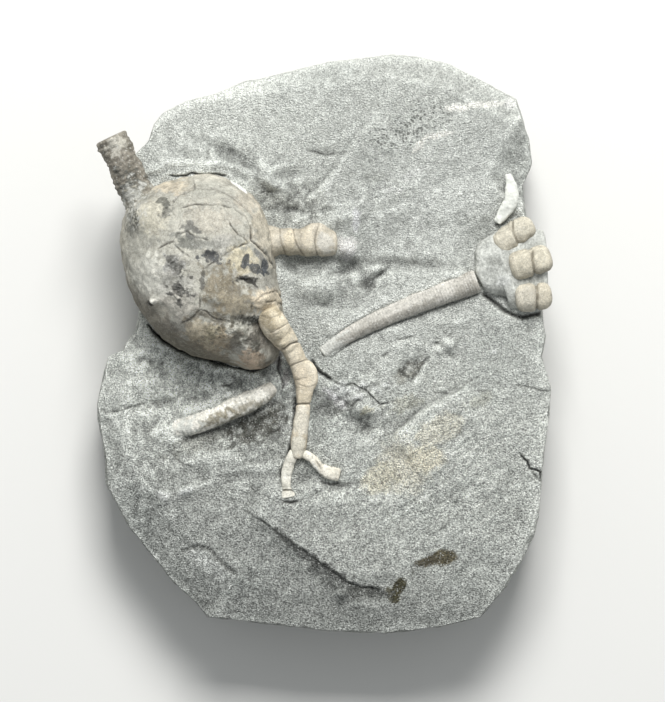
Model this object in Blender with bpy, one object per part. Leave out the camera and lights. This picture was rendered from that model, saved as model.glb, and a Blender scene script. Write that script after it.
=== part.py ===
"""Crinoid fossil: a large sea lily's cup with its stem and two arms, and a small sea lily on its
long column, all standing out of a slab of grey siltstone.

The slab lies on its flat underside. +Z is up, +Y runs towards the slab's longer broken end and
+X towards the small sea lily's cup. The origin is the middle of the underside. Sizes are in
millimetres, and each mesh is scaled by MM when it is finished.
"""

import math

import bmesh
import bpy
import numpy as np
from mathutils import Matrix, Vector, noise

MM = 0.001

# ---- slab -----------------------------------------------------------------------------------

FACE_LEVEL = 24.3  # height of the split face at the middle of the slab
FACE_TILT = 0.035  # rise of the face for each mm along Y
CELLS = (78, 98, 10)  # cells across, along and up before the mesh is thinned
SLAB_TRIANGLES = 3600
SIDE_LEVELS = (0, 0.1, 0.4, 0.8, 1)
SIDE_SHARES = (0.955, 0.98, 1, 0.998, 0.985)  # size of the outline at each of those levels
GAP = 0.3  # clearance between the stone and each fossil piece

# The outline seen from above, as four edges that meet at its corners
TOP_EDGE = [(-36.5, 47), (-34.5, 49.5), (-30, 52), (-23.5, 53.5), (-17.5, 56), (-9, 58), (1, 60.5),
            (14, 62), (20.5, 61.5), (27, 60), (35.5, 55.5), (41, 52.5)]
RIGHT_EDGE = [(33.5, -58.5), (39, -52), (42, -47), (45, -41), (46, -37), (46.5, -29.5),
              (47, -23.5), (48, -17.5), (48.7, -9), (46.5, -2.5), (47.4, 1.5), (46.8, 5.5),
              (46.4, 12), (46.4, 18), (45.5, 24), (43, 28), (42.5, 34), (44.5, 38.5),
              (43.8, 44.5), (42.5, 48.5), (41, 52.5)]
BOTTOM_EDGE = [(-25, -58.5), (-11.5, -60), (1, -61.5), (14.5, -62), (25, -60.5), (33.5, -58.5)]
LEFT_EDGE = [(-25, -58.5), (-27.5, -55.5), (-32.5, -51), (-38, -44), (-42, -39), (-44.7, -33.8),
             (-46.8, -30), (-47.2, -22.5), (-48.6, -16), (-48.7, -12.8), (-47.3, -5.6),
             (-46.5, -2.7), (-43.6, -1.4), (-40.5, 3), (-39, 11), (-39.5, 22.5), (-41.5, 33),
             (-40.5, 40.5), (-37.5, 43.5), (-36.5, 47)]

# Rises and hollows of the face: middle, half lengths along and across, height, turn in degrees
RISES = [
    ((14, 50), (36, 14), 2.2, 6),  # high ground at the top
    ((32, 40), (16, 9), 0.9, 0),
    ((-30, 40), (12, 4), 1.6, 10),  # stone left against the shoulder of the large cup
    ((-12, 35.5), (5, 2.4), 2.2, -50),
    ((-19, 40), (6, 2), -1.0, -12),
    ((-8.6, 29.8), (5.6, 3.4), -3.4, -18),  # hollow above the short arm
    ((-9.5, 33.3), (3, 1.1), 1.6, -30),
    ((1.5, 26.5), (4, 2), 1.2, 30),
    ((-1, 41.2), (3.2, 1.3), -1.0, 5),
    ((0.5, 17.2), (7.5, 1.9), -3.0, 0),  # cleared ground below the short arm
    ((4.7, 20.6), (2.5, 2.4), 2.4, 0),  # lump at the end of the short arm
    ((6, 16.4), (3, 1.3), -2.0, 15),
    ((-1.5, 13), (5.5, 3), 1.2, 0),
    ((-0.3, 8.8), (3, 1.4), -0.7, 0),
    ((9.2, 13), (1.8, 1.9), -2.6, 0),  # pit
    ((11.9, 15.2), (2.4, 0.9), -1.6, 42),
    ((21, 24), (13, 5.5), -2.0, 0),  # shallow hollow on the right
    ((19, 17), (10, 1.4), -1.6, -2),
    ((32, 22), (2.4, 5), -1.2, -28),
    ((28, 5), (3, 1), 0.5, 15),
    ((25, -1), (2.6, 0.9), 0.6, 0),
    ((26.8, 0.2), (1.2, 1.1), 1.1, 0),
    ((18.3, -5), (3.4, 1.5), -1.3, 38),  # weathered mark
    ((26, -27), (22, 17), 1.6, 30),  # smooth plain at the lower right
    ((6, -10.5), (5, 1.8), 1.2, -25),  # broken debris beside the long arm
    ((7.6, -13.6), (3, 1.9), 1.9, 10),
    ((4, -13.5), (2, 1.4), 1.0, 40),
    ((9.6, -17.6), (3.6, 1.8), -2.2, 5),
    ((0.6, -14.2), (3.2, 2.2), -1.6, 0),
    ((-33, -14), (18, 17), -2.6, 0),  # low ground on the left
    ((-27, -1.5), (13, 3.6), -2.6, -27),
    ((-12.5, -5.6), (2.2, 1.4), -1.6, 40),
    ((-21.5, -5), (2.6, 1.4), 1.3, 10),
    ((-31.5, -4), (1.6, 3.6), 1.0, 10),
    ((-36, -12.6), (5, 1.2), -0.9, 5),
    ((-12.5, -15), (5.5, 3), -2.0, 24),  # trench below the column's far piece
    ((-26, -24.6), (6, 1.6), 0.9, 12),
    ((-14, -26.4), (6, 1.2), 0.9, 8),
    ((-20, -28.4), (6, 1), -0.6, 5),
    ((-34.6, -32.4), (1.7, 1.3), 1.2, 0),
    ((-28.4, -31), (2.6, 1.2), 1.1, 25),
    ((-3.8, -28.3), (2.3, 1.5), -1.2, 0),  # between the two branches
    ((-1, -33.5), (8, 2.4), 0.8, 0),
    ((3.5, -30.2), (4, 0.8), -1.0, 8),
]

# Crests: points, height, and how far they fade on the left and on the right of the line's run
CRESTS = [
    ([(-3, 30.1), (4.8, 38.6), (11.2, 46.4), (14.2, 48.8)], 1.1, 1.0, 5),
    ([(3, 27.5), (8.5, 29.5), (15, 31.5), (21.8, 32.8), (28, 32.2), (36, 32.6)], 1.3, 5, 2),
    ([(14.6, -20.4), (22, -14.2), (29, -9.8), (33, -7.6)], 1.5, 0.8, 8),
    ([(-15.8, -35.8), (-9.4, -40.4), (-3.7, -46.1), (3.4, -49.7), (9.8, -53.2), (15.5, -54.7)],
     2.2, 12, 0.9),
    ([(-1, -51.8), (4.8, -54), (8.4, -56.1), (15, -59)], 0.8, 4, 0.8),
    ([(-30, -44), (-25.8, -43.2), (-21.6, -46.9), (-17.3, -51.5)], 1.2, 5, 0.8),
    ([(-8, -1.5), (-5.2, -6), (-4.6, -12), (-5, -18), (-5.7, -24)], 2.0, 2.6, 3.4),
    ([(-10, -8.9), (-14.7, -11.4), (-23.1, -15.2), (-32.8, -18.7)], 1.0, 2.6, 3.4),
    ([(-14, -14.6), (-22, -18.6), (-31, -21.6)], -1.4, 2.8, 1.5),
    ([(33, 10.6), (24, 7.6), (11, 2.6), (1, -3.2)], -0.8, 1.0, 0.9),
    ([(-41, 35), (-34, 38.6), (-26.5, 38.8), (-19, 38), (-13.5, 34.5)], 0.9, 1.6, 1.2),
]

# Broken facets of the rim: a point on the cut, the bearing it falls towards, its fall, its reach
FACETS = [
    ((0, 55.5, 27.6), 101, 0.55, 40),
    ((22, 56.5, 27.6), 80, 0.6, 22),
    ((33, 52, 27.4), 58, 0.6, 18),
    ((38, 42.8, 27.4), -32, 0.7, 9),
    ((-31, 49, 26.8), 128, 0.6, 16),
    ((44, -14, 26), 0, 0.7, 26),
    ((38, -46, 24.6), -32, 0.75, 24),
    ((6, -57, 21.8), -93, 0.45, 40),
    ((-40, -34.5, 20.6), 212, 0.75, 16),
    ((-34, -45, 20.6), 222, 0.75, 16),
    ((-45.5, -14, 20.2), 180, 0.6, 20),
    ((-41, 1, 21), 140, 0.6, 8),
]

# ---- fossils --------------------------------------------------------------------------------

# Large cup: middle, half height, and the reach of its outline on each bearing in degrees
CUP_AT = Vector((-26.5, 15.5, 26))
CUP_RISE = 15.5
CUP_OUTLINE = [(-165, 15), (-142, 14), (-122, 14.1), (-94, 15.6), (-74, 19.4), (-64, 23.2),
               (-54, 24.8), (-44, 24.4), (-34, 21.8), (-12, 18.4), (15, 18.2), (37, 20),
               (51, 21), (67, 21.4), (90, 21.2), (107, 20.6), (123, 20.2), (141, 20.4),
               (155, 18.7), (171, 16.8), (195, 15)]
CUP_RISES = [
    ((-13.2, 9.2), (3.6, 3.2), 1.7, 0),  # collar of the long arm
    ((-12.6, 22), (4, 4.6), 1.4, 0),  # foot of the short arm
    ((-37.5, 29), (4.5, 4.5), 1.6, 0),  # foot of the stem
    ((-31, 27), (6, 5), 0.6, 20),
    ((-21, 25), (6, 5), 0.7, 0),
    ((-34, 14), (5, 6), 0.7, 0),
    ((-20.5, 12), (6, 5), 0.6, -20),
    ((-22, 4), (8, 3.4), 0.7, -25),
    ((-13.5, -2.6), (4, 2.6), 0.9, -20),
    ((-13.5, 3.4), (3, 2.2), -1.0, -20),
    ((-35.9, 9.3), (1.2, 1), 0.8, 0),
]

# Paths of the round pieces: x, y, z, half width and half height at each joint
STEM = [(-36.5, 26, 27, 4.4, 4.4), (-39.4, 31.4, 27, 3.9, 3.9), (-42.2, 37.2, 27.2, 3.6, 3.6),
        (-45.6, 44.3, 27.6, 3.55, 3.55)]
SHORT_ARM = [(-15.5, 21.4, 26.4, 5, 4.6), (-9.1, 22, 26.8, 3.1, 3.3), (-5.5, 21.8, 26.6, 3, 3.2),
             (-1.8, 21.6, 26.2, 3, 3), (2.5, 21.6, 25.4, 2.5, 2.5)]
LONG_ARM = [(-14.4, 9.6, 35.4, 2.2, 2), (-11.2, 7.9, 35.2, 2.55, 2.4), (-9.2, 3.1, 32.8, 2.45, 2.4),
            (-7.1, -0.6, 30, 1.95, 2), (-5.3, -3.8, 28.4, 1.9, 1.9), (-3.7, -7.2, 27.4, 2.4, 1.9),
            (-4.3, -12.4, 26.8, 1.6, 1.6), (-5.1, -18, 26.1, 1.75, 1.6), (-5.6, -22.6, 25.4, 1.5, 1.4),
            (-5.8, -24.4, 25.2, 0.9, 1.1)]
LEFT_BRANCH = [(-6.3, -22.8, 24.9, 1, 1), (-7.4, -25.4, 24.8, 1.2, 1.15), (-8.1, -28, 24.5, 1.2, 1.1),
               (-8.1, -30.6, 24.2, 1.1, 1.05), (-7.7, -32.8, 24, 1.6, 1.1)]
RIGHT_BRANCH = [(-5, -23, 24.9, 0.9, 1), (-2.7, -24.4, 24.9, 1.05, 1), (-1, -26.2, 24.6, 1, 1),
                (1, -27.4, 24.3, 1.45, 1.25), (3.3, -28, 24, 1.4, 1.15)]
COLUMN = [(32.8, 13.6, 24.9, 2.45, 2.45), (24, 10.4, 24.6, 2.15, 2.15), (16.4, 7.5, 24.3, 2.05, 2.05),
          (10.9, 5.1, 24, 1.9, 1.9), (5.5, 2.5, 23.8, 1.75, 1.75), (-0.4, -1.8, 23.3, 1.5, 1.5)]
FAR_PIECE = [(-10.2, -8.8, 22.8, 2.2, 2.2), (-14.7, -11.4, 22.6, 2.35, 2.35),
             (-23.1, -15.2, 22, 2.25, 2.25), (-32.6, -18.6, 20.9, 2.4, 2.2)]
SMALL_CUP = [(33.2, 13.6, 24.6, 2.5, 2.4), (34.5, 14.3, 24.6, 4.4, 3), (36.6, 15.6, 24.4, 7.2, 3.7),
             (39.2, 16.2, 24.2, 8.6, 4), (42.4, 16.6, 24, 8.4, 3.6), (44.6, 17, 23.8, 7.4, 3)]
UPPER_SMALL_ARM = [(36, 21.4, 25.6, 2.6, 2.5), (40.2, 24, 25.8, 2.9, 2.6), (44.8, 25.8, 25, 2.2, 2)]
MIDDLE_SMALL_ARM = [(39.7, 16.4, 27, 3, 2.7), (44.4, 17.6, 27.2, 3.1, 2.8), (48.7, 19, 26.4, 2.7, 2.4)]
LOWER_SMALL_ARM = [(40.2, 10, 26, 3.1, 2.8), (45.3, 10.2, 26.2, 3.1, 2.8), (48.7, 10.7, 25.4, 2.8, 2.4)]
SHELL = [(39.2, 36.4, 27.2, 0.6, 0.6), (40, 33.5, 27.1, 1.3, 0.9), (39.8, 30.6, 26.7, 1.5, 1),
         (38.3, 27.9, 26.3, 1.35, 0.9), (36.9, 26, 26, 0.8, 0.6)]


# ---- the lie of the stone -------------------------------------------------------------------


def rise(x, y, at, size, height, turn=0.0):
    """A smooth oval rise, or a hollow where height is negative."""
    c, s = math.cos(math.radians(turn)), math.sin(math.radians(turn))
    dx, dy = x - at[0], y - at[1]
    along_it, across_it = (dx * c + dy * s) / size[0], (dy * c - dx * s) / size[1]
    return height * np.exp(-(along_it**2) - across_it**2)


def crest(x, y, line, height, left, right):
    """A crest along a line that dies away over `left` on its left and `right` on its right."""
    nearest = np.full(np.shape(x), 1e9)
    signed = np.zeros(np.shape(x))
    for (ax, ay), (bx, by) in zip(line, line[1:]):
        ux, uy = bx - ax, by - ay
        t = np.clip(((x - ax) * ux + (y - ay) * uy) / (ux * ux + uy * uy), 0, 1)
        away = np.hypot(x - ax - t * ux, y - ay - t * uy)
        side = np.where(ux * (y - ay) - uy * (x - ax) >= 0, 1.0, -1.0)
        signed = np.where(away < nearest, side * away, signed)
        nearest = np.minimum(away, nearest)
    return height * np.exp(-((signed / np.where(signed > 0, left, right)) ** 2))


def facet(z, x, y, at, towards, fall, reach):
    """The rock above a plane is cut away. The plane falls towards a bearing and ends at its reach."""
    bearing = math.radians(towards)
    out = (x - at[0]) * math.cos(bearing) + (y - at[1]) * math.sin(bearing)
    aside = np.abs((y - at[1]) * math.cos(bearing) - (x - at[0]) * math.sin(bearing))
    hold = np.clip((reach - aside) * 0.5, 0, 1)
    return z - hold * np.maximum(0, z - (at[2] - fall * out))


def rough(x, y, z, size, height, seed):
    """Broken roughness whose largest lumps are `size` across."""
    drift = Vector((seed * 17.3, seed * 5.9, seed * 11.1))
    return height * np.array([
        noise.fractal(Vector(p) / size + drift, 0.9, 2.1, 4) for p in zip(x, y, z)
    ])


def relief(x, y):
    """Height of the split face over the underside."""
    z = FACE_LEVEL + FACE_TILT * y
    for at, size, height, turn in RISES:
        z = z + rise(x, y, at, size, height, turn)
    for line, height, left, right in CRESTS:
        z = z + crest(x, y, line, height, left, right)
    for at, towards, fall, reach in FACETS:
        z = facet(z, x, y, at, towards, fall, reach)
    return z


# ---- mesh helpers ---------------------------------------------------------------------------


def part(name, bm, colour, roughness):
    """A finished object from a mesh in millimetres, with a material of its own."""
    bmesh.ops.recalc_face_normals(bm, faces=bm.faces)
    bm.transform(Matrix.Scale(MM, 4))
    mesh = bpy.data.meshes.new(name)
    bm.to_mesh(mesh)
    bm.free()
    mesh.shade_smooth()
    mesh.set_sharp_from_angle(angle=math.radians(38))
    material = bpy.data.materials.new(name)
    material.use_nodes = True
    shader = material.node_tree.nodes["Principled BSDF"]
    shader.inputs["Base Color"].default_value = (*colour, 1)
    shader.inputs["Roughness"].default_value = roughness
    shader.inputs["Metallic"].default_value = 0
    mesh.materials.append(material)
    made = bpy.data.objects.new(name, mesh)
    bpy.context.scene.collection.objects.link(made)
    return made


def helper(name, bm):
    """A hidden object from a mesh in millimetres, for cutting a socket."""
    bmesh.ops.recalc_face_normals(bm, faces=bm.faces)
    bm.transform(Matrix.Scale(MM, 4))
    mesh = bpy.data.meshes.new(name)
    bm.to_mesh(mesh)
    bm.free()
    made = bpy.data.objects.new(name, mesh)
    bpy.context.scene.collection.objects.link(made)
    made.hide_render = True
    made.display_type = "WIRE"
    return made


def cut(target, *helpers):
    for cutter in helpers:
        boolean = target.modifiers.new("Socket", "BOOLEAN")
        boolean.object = cutter
        boolean.operation = "DIFFERENCE"
        boolean.solver = "EXACT"


def lengths(points):
    """How far along its line each point lies, from 0 to 1."""
    steps = np.linalg.norm(np.diff(np.array(points, float), axis=0), axis=1)
    run = np.concatenate([[0], np.cumsum(steps)])
    return run / run[-1]


def along(edge, share):
    """The point a share of the way along an edge of the outline."""
    points, run = np.array(edge, float), lengths(edge)
    return np.stack([np.interp(share, run, points[:, k]) for k in (0, 1)], axis=-1)


def in_outline(u, v):
    """The plan position of a point of the unit square, drawn out to the slab's outline."""
    corners = [np.array(p, float) for p in (BOTTOM_EDGE[0], BOTTOM_EDGE[-1], TOP_EDGE[0], TOP_EDGE[-1])]
    bottom, top = along(BOTTOM_EDGE, u), along(TOP_EDGE, u)
    left, right = along(LEFT_EDGE, v), along(RIGHT_EDGE, v)
    u, v = u[:, None], v[:, None]
    middle = (1 - u) * (1 - v) * corners[0] + u * (1 - v) * corners[1]
    middle = middle + (1 - u) * v * corners[2] + u * v * corners[3]
    return (1 - v) * bottom + v * top + (1 - u) * left + u * right - middle


def stations(path, shares):
    """The path read as a smooth curve at each share of its length."""
    points = np.array(path, float)
    knots = lengths(points[:, :3])
    slopes = np.gradient(points, knots, axis=0)
    found = []
    for share in shares:
        k = int(np.clip(np.searchsorted(knots, share) - 1, 0, len(knots) - 2))
        span = knots[k + 1] - knots[k]
        t = (share - knots[k]) / span
        found.append(
            (2 * t**3 - 3 * t**2 + 1) * points[k] + (t**3 - 2 * t**2 + t) * span * slopes[k]
            + (3 * t**2 - 2 * t**3) * points[k + 1] + (t**3 - t**2) * span * slopes[k + 1]
        )
    return np.array(found)


def tube(path, rings, sides, grown=0.0):
    """A closed round piece along a path. rings holds (share of length, swell) for each ring."""
    bm = bmesh.new()
    rows = stations(path, [share for share, _ in rings])
    loops = []
    for i, (row, (_, swell)) in enumerate(zip(rows, rings)):
        ahead = Vector((rows[min(i + 1, len(rows) - 1)] - rows[max(i - 1, 0)])[:3]).normalized()
        across = ahead.cross(Vector((0, 0, 1))).normalized()
        up = across.cross(ahead)
        centre = Vector(row[:3])
        if grown and i in (0, len(rows) - 1):
            centre += ahead * (grown if i else -grown)
        wide, high = row[3] * swell + grown, row[4] * swell + grown
        made = bmesh.ops.create_circle(bm, segments=sides, radius=1)["verts"]
        for vert in made:
            vert.co = centre + across * (vert.co.x * wide) + up * (vert.co.y * high)
        loops.append(made)
    for first, second in zip(loops, loops[1:]):
        both = set(first) | set(second)
        ends = [e for e in bm.edges if e.verts[0] in both and e.verts[1] in both
                and (e.verts[0] in first) == (e.verts[1] in first)]
        bmesh.ops.bridge_loops(bm, edges=ends)
    for loop in (loops[0], loops[-1]):
        bm.faces.new(loop)
    return bm


def jointed(path, waist, full=1.0):
    """Rings for a run of segments that are full in the middle and drawn in at each joint."""
    joints = lengths(np.array(path)[:, :3])
    rings = [(joints[0], waist)]
    for start, end in zip(joints, joints[1:]):
        span = end - start
        rings += [(start + span * 0.22, full), (start + span * 0.78, full), (end, waist)]
    return rings


def ribbed(discs, height):
    """Rings for a column of discs whose edges stand `height` over the grooves between them."""
    rings = [(0, 1 - height)]
    for i in range(discs):
        rings += [((i + 0.5) / discs, 1 + height), ((i + 1) / discs, 1 - height)]
    return rings


def plain(path, rings):
    return [(i / (rings - 1), 1.0) for i in range(rings)]


def socket(name, path, rings, sides, full=1.0):
    """The hole a round piece sits in: the same path, wider all round by the gap."""
    wider = GAP + 0.12
    return helper(name, tube(path, [(share, full) for share, _ in plain(path, rings)], sides, wider))


def blunt(bm, width):
    """Takes the sharp edge off the two ends of a round piece."""
    ends = [f for f in bm.faces if len(f.verts) > 4]
    edges = {e for f in ends for e in f.edges}
    bmesh.ops.bevel(bm, geom=list(edges), offset=width, segments=1, profile=0.5,
                    affect="EDGES", material=-1)
    return bm


# ---- pieces ---------------------------------------------------------------------------------


def slab():
    """The siltstone: a block of cells drawn out to the outline, with the face's relief on top."""
    bm = bmesh.new()
    bmesh.ops.create_cube(bm, size=1, matrix=Matrix.Translation((0.5, 0.5, 0.5)))
    for axis, cells in enumerate(CELLS):
        edges = [e for e in bm.edges if abs((e.verts[0].co - e.verts[1].co)[axis]) > 1e-4]
        bmesh.ops.subdivide_edges(bm, edges=edges, cuts=cells - 1, use_grid_fill=True)
    u, v, w = np.clip(np.array([vert.co for vert in bm.verts]).T, 0, 1)
    x, y = (in_outline(u, v) * np.interp(w, SIDE_LEVELS, SIDE_SHARES)[:, None]).T
    z = w * (relief(x, y) + rough(x, y, np.zeros(len(x)), 10, 0.5, 1))
    chipped = np.where((w > 0.02) & (w < 0.98), 1 + rough(x, y, z, 9, 0.01, 2), 1)
    for vert, px, py, pz in zip(bm.verts, x * chipped, y * chipped, z):
        vert.co = (px, py, pz)
    made = part("siltstone_slab", bm, (0.47, 0.49, 0.45), 0.92)
    across, along_y, up = CELLS
    thin = made.modifiers.new("Thin", "DECIMATE")
    thin.ratio = SLAB_TRIANGLES / (4 * (across * along_y + across * up + along_y * up))
    return made


def cup_mesh(grown=0.0):
    """The large cup: a dome over its outline, with the low swellings of its plates."""
    bm = bmesh.new()
    bmesh.ops.create_uvsphere(bm, u_segments=30, v_segments=16, radius=1)
    bearings, reaches = np.array(CUP_OUTLINE, float).T
    for vert in bm.verts:
        way = vert.co.normalized()
        bearing = math.degrees(math.atan2(way.y, way.x))
        bearing = bearing + 360 if bearing < bearings[0] else bearing
        reach = float(np.interp(bearing, bearings, reaches))
        place = CUP_AT + Vector((way.x * reach, way.y * reach, way.z * CUP_RISE))
        swell = sum(float(rise(place.x, place.y, *row)) for row in CUP_RISES)
        out = Vector((way.x / reach, way.y / reach, way.z / CUP_RISE)).normalized()
        vert.co = place + out * (swell * max(0, way.z + 0.2) + grown)
    return bm


def short_arm_mesh(rings, sides, grown=0.0):
    """The short arm, with the lump on the far side of its third segment."""
    bm = tube(SHORT_ARM, rings, sides, grown)
    for vert in bm.verts:
        lump = float(rise(vert.co.x, vert.co.y, (-1.6, 24.6), (2.4, 1.8), 1.7))
        vert.co += Vector((0, lump, lump * 0.3))
    return bm


def build():
    for old in list(bpy.data.objects):
        bpy.data.objects.remove(old)

    cup_socket = helper("cup_socket", cup_mesh(GAP))
    arm_sockets = {
        "stem": socket("stem_socket", STEM, 4, 14),
        "short_arm": helper("short_arm_socket", short_arm_mesh(plain(SHORT_ARM, 9), 14, GAP + 0.05)),
        "long_arm": socket("long_arm_socket", LONG_ARM, 12, 10),
        "left": socket("left_branch_socket", LEFT_BRANCH, 5, 8),
        "right": socket("right_branch_socket", RIGHT_BRANCH, 5, 8),
        "column": socket("column_socket", COLUMN, 7, 10, 1.03),
        "far": socket("far_piece_socket", FAR_PIECE, 5, 10, 1.03),
        "small_cup": socket("small_cup_socket", SMALL_CUP, 7, 16),
        "upper": socket("upper_small_arm_socket", UPPER_SMALL_ARM, 3, 10),
        "middle": socket("middle_small_arm_socket", MIDDLE_SMALL_ARM, 3, 10),
        "lower": socket("lower_small_arm_socket", LOWER_SMALL_ARM, 3, 10),
        "shell": socket("shell_socket", SHELL, 5, 8),
    }

    bone = (0.62, 0.57, 0.46)
    part("large_cup", cup_mesh(), (0.55, 0.52, 0.44), 0.55)
    stem = part("stem", blunt(tube(STEM, ribbed(8, 0.04), 14), 0.4), (0.42, 0.39, 0.33), 0.7)
    cut(stem, cup_socket)

    arm = short_arm_mesh(jointed(SHORT_ARM, 0.93), 14)
    cut(part("short_arm", blunt(arm, 0.5), bone, 0.55), cup_socket)

    long_arm = tube(LONG_ARM, jointed(LONG_ARM, 0.94), 10)
    cut(part("long_arm", blunt(long_arm, 0.25), bone, 0.55), cup_socket)
    left = blunt(tube(LEFT_BRANCH, plain(LEFT_BRANCH, 9), 8), 0.3)
    cut(part("long_arm_left_branch", left, bone, 0.6), arm_sockets["long_arm"])
    right = blunt(tube(RIGHT_BRANCH, plain(RIGHT_BRANCH, 9), 8), 0.3)
    cut(part("long_arm_right_branch", right, bone, 0.6), arm_sockets["long_arm"], arm_sockets["left"])

    part("small_column", blunt(tube(COLUMN, ribbed(8, 0.012), 12), 0.3), (0.45, 0.43, 0.39), 0.7)
    part("small_column_far_piece", blunt(tube(FAR_PIECE, ribbed(6, 0.012), 12), 0.5),
         (0.5, 0.47, 0.4), 0.8)
    small_cup = blunt(tube(SMALL_CUP, plain(SMALL_CUP, 7), 18), 0.6)
    cut(part("small_cup", small_cup, (0.5, 0.5, 0.46), 0.8), arm_sockets["column"])
    for name, path in (("upper", UPPER_SMALL_ARM), ("middle", MIDDLE_SMALL_ARM), ("lower", LOWER_SMALL_ARM)):
        small_arm = blunt(tube(path, jointed(path, 0.84), 10), 0.5)
        cut(part("small_arm_" + name, small_arm, (0.66, 0.61, 0.5), 0.6), arm_sockets["small_cup"])
    shell = blunt(tube(SHELL, plain(SHELL, 6), 8), 0.2)
    cut(part("shell_fragment", shell, (0.68, 0.69, 0.64), 0.6), arm_sockets["upper"])

    cut(slab(), cup_socket, *arm_sockets.values())


build()
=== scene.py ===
"""Crinoid fossil: the looks of a large sea lily's cup with its stem and arms, and of a small sea
lily on its long column, standing out of a slab of grey siltstone.

The part lies on its back and +Z is up. Sizes are in millimetres until a mesh is finished.
"""

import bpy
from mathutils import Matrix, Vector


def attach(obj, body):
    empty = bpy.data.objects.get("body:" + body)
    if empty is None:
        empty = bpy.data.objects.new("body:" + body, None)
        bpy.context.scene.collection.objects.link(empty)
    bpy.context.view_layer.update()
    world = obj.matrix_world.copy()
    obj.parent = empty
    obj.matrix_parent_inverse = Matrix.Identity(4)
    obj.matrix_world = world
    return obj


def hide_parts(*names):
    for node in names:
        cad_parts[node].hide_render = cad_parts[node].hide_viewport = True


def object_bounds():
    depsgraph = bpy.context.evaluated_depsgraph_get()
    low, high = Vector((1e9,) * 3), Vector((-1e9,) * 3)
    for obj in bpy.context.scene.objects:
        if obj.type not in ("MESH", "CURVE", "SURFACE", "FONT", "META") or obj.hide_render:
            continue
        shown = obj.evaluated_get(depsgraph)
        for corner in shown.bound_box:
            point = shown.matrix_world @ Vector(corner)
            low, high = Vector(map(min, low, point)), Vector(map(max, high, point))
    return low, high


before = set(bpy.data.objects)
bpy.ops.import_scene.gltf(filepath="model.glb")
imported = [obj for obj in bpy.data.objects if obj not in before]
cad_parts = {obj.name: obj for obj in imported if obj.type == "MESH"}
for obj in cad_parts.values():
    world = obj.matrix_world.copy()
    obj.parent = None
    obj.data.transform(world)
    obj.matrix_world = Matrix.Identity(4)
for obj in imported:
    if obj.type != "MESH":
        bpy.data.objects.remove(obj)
CAD_BOX = [list(corner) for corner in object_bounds()]

import math

import bmesh
import bpy
import numpy as np
from mathutils import Matrix, Vector, noise

MM = 0.001
LOW, HIGH = (np.array(corner) / MM for corner in CAD_BOX)

# ---- slab -----------------------------------------------------------------------------------

FACE_LEVEL = 24.3  # height of the split face at the middle of the slab
FACE_TILT = 0.035  # rise of the face for each mm along Y
SIDE_LEVELS = (0, 0.1, 0.4, 0.8, 1)
SIDE_SHARES = (0.96, 0.985, 1.002, 1.002, 0.996)  # size of the outline at each of those levels
FACE_CELLS = (212, 270)  # 0.46 mm cells, about the size of the sugary grain
WALL_RINGS = 28
SLAB_ACROSS, SLAB_ALONG, SLAB_DEEP = 94, 120, 25
RIM = 3.5  # how far in from the broken rim its nicks reach
FINE_REACH = 0.9  # how far on each side of a line in the stone its cells are halved

# The outline seen from above, as four edges that meet at its corners
TOP_EDGE = [(-36.5, 47), (-34.5, 49.5), (-30, 52), (-23.5, 53.5), (-17.5, 56), (-9, 58), (1, 60.5),
            (14, 62), (20.5, 61.5), (27, 60), (35.5, 55.5), (41, 52.5)]
RIGHT_EDGE = [(33.5, -58.5), (39, -52), (42, -47), (45, -41), (46, -37), (46.5, -29.5),
              (47, -23.5), (48, -17.5), (48.7, -9), (46.5, -2.5), (47.4, 1.5), (46.8, 5.5),
              (46.4, 12), (46.4, 18), (45.5, 24), (43, 28), (42.5, 34), (44.5, 38.5),
              (43.8, 44.5), (42.5, 48.5), (41, 52.5)]
BOTTOM_EDGE = [(-25, -58.5), (-11.5, -60), (1, -61.5), (14.5, -62), (25, -60.5), (33.5, -58.5)]
LEFT_EDGE = [(-25, -58.5), (-27.5, -55.5), (-32.5, -51), (-38, -44), (-42, -39), (-44.7, -33.8),
             (-46.8, -30), (-47.2, -22.5), (-48.6, -16), (-48.7, -12.8), (-47.3, -5.6),
             (-46.5, -2.7), (-43.6, -1.4), (-40.5, 3), (-39, 11), (-39.5, 22.5), (-41.5, 33),
             (-40.5, 40.5), (-37.5, 43.5), (-36.5, 47)]

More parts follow.
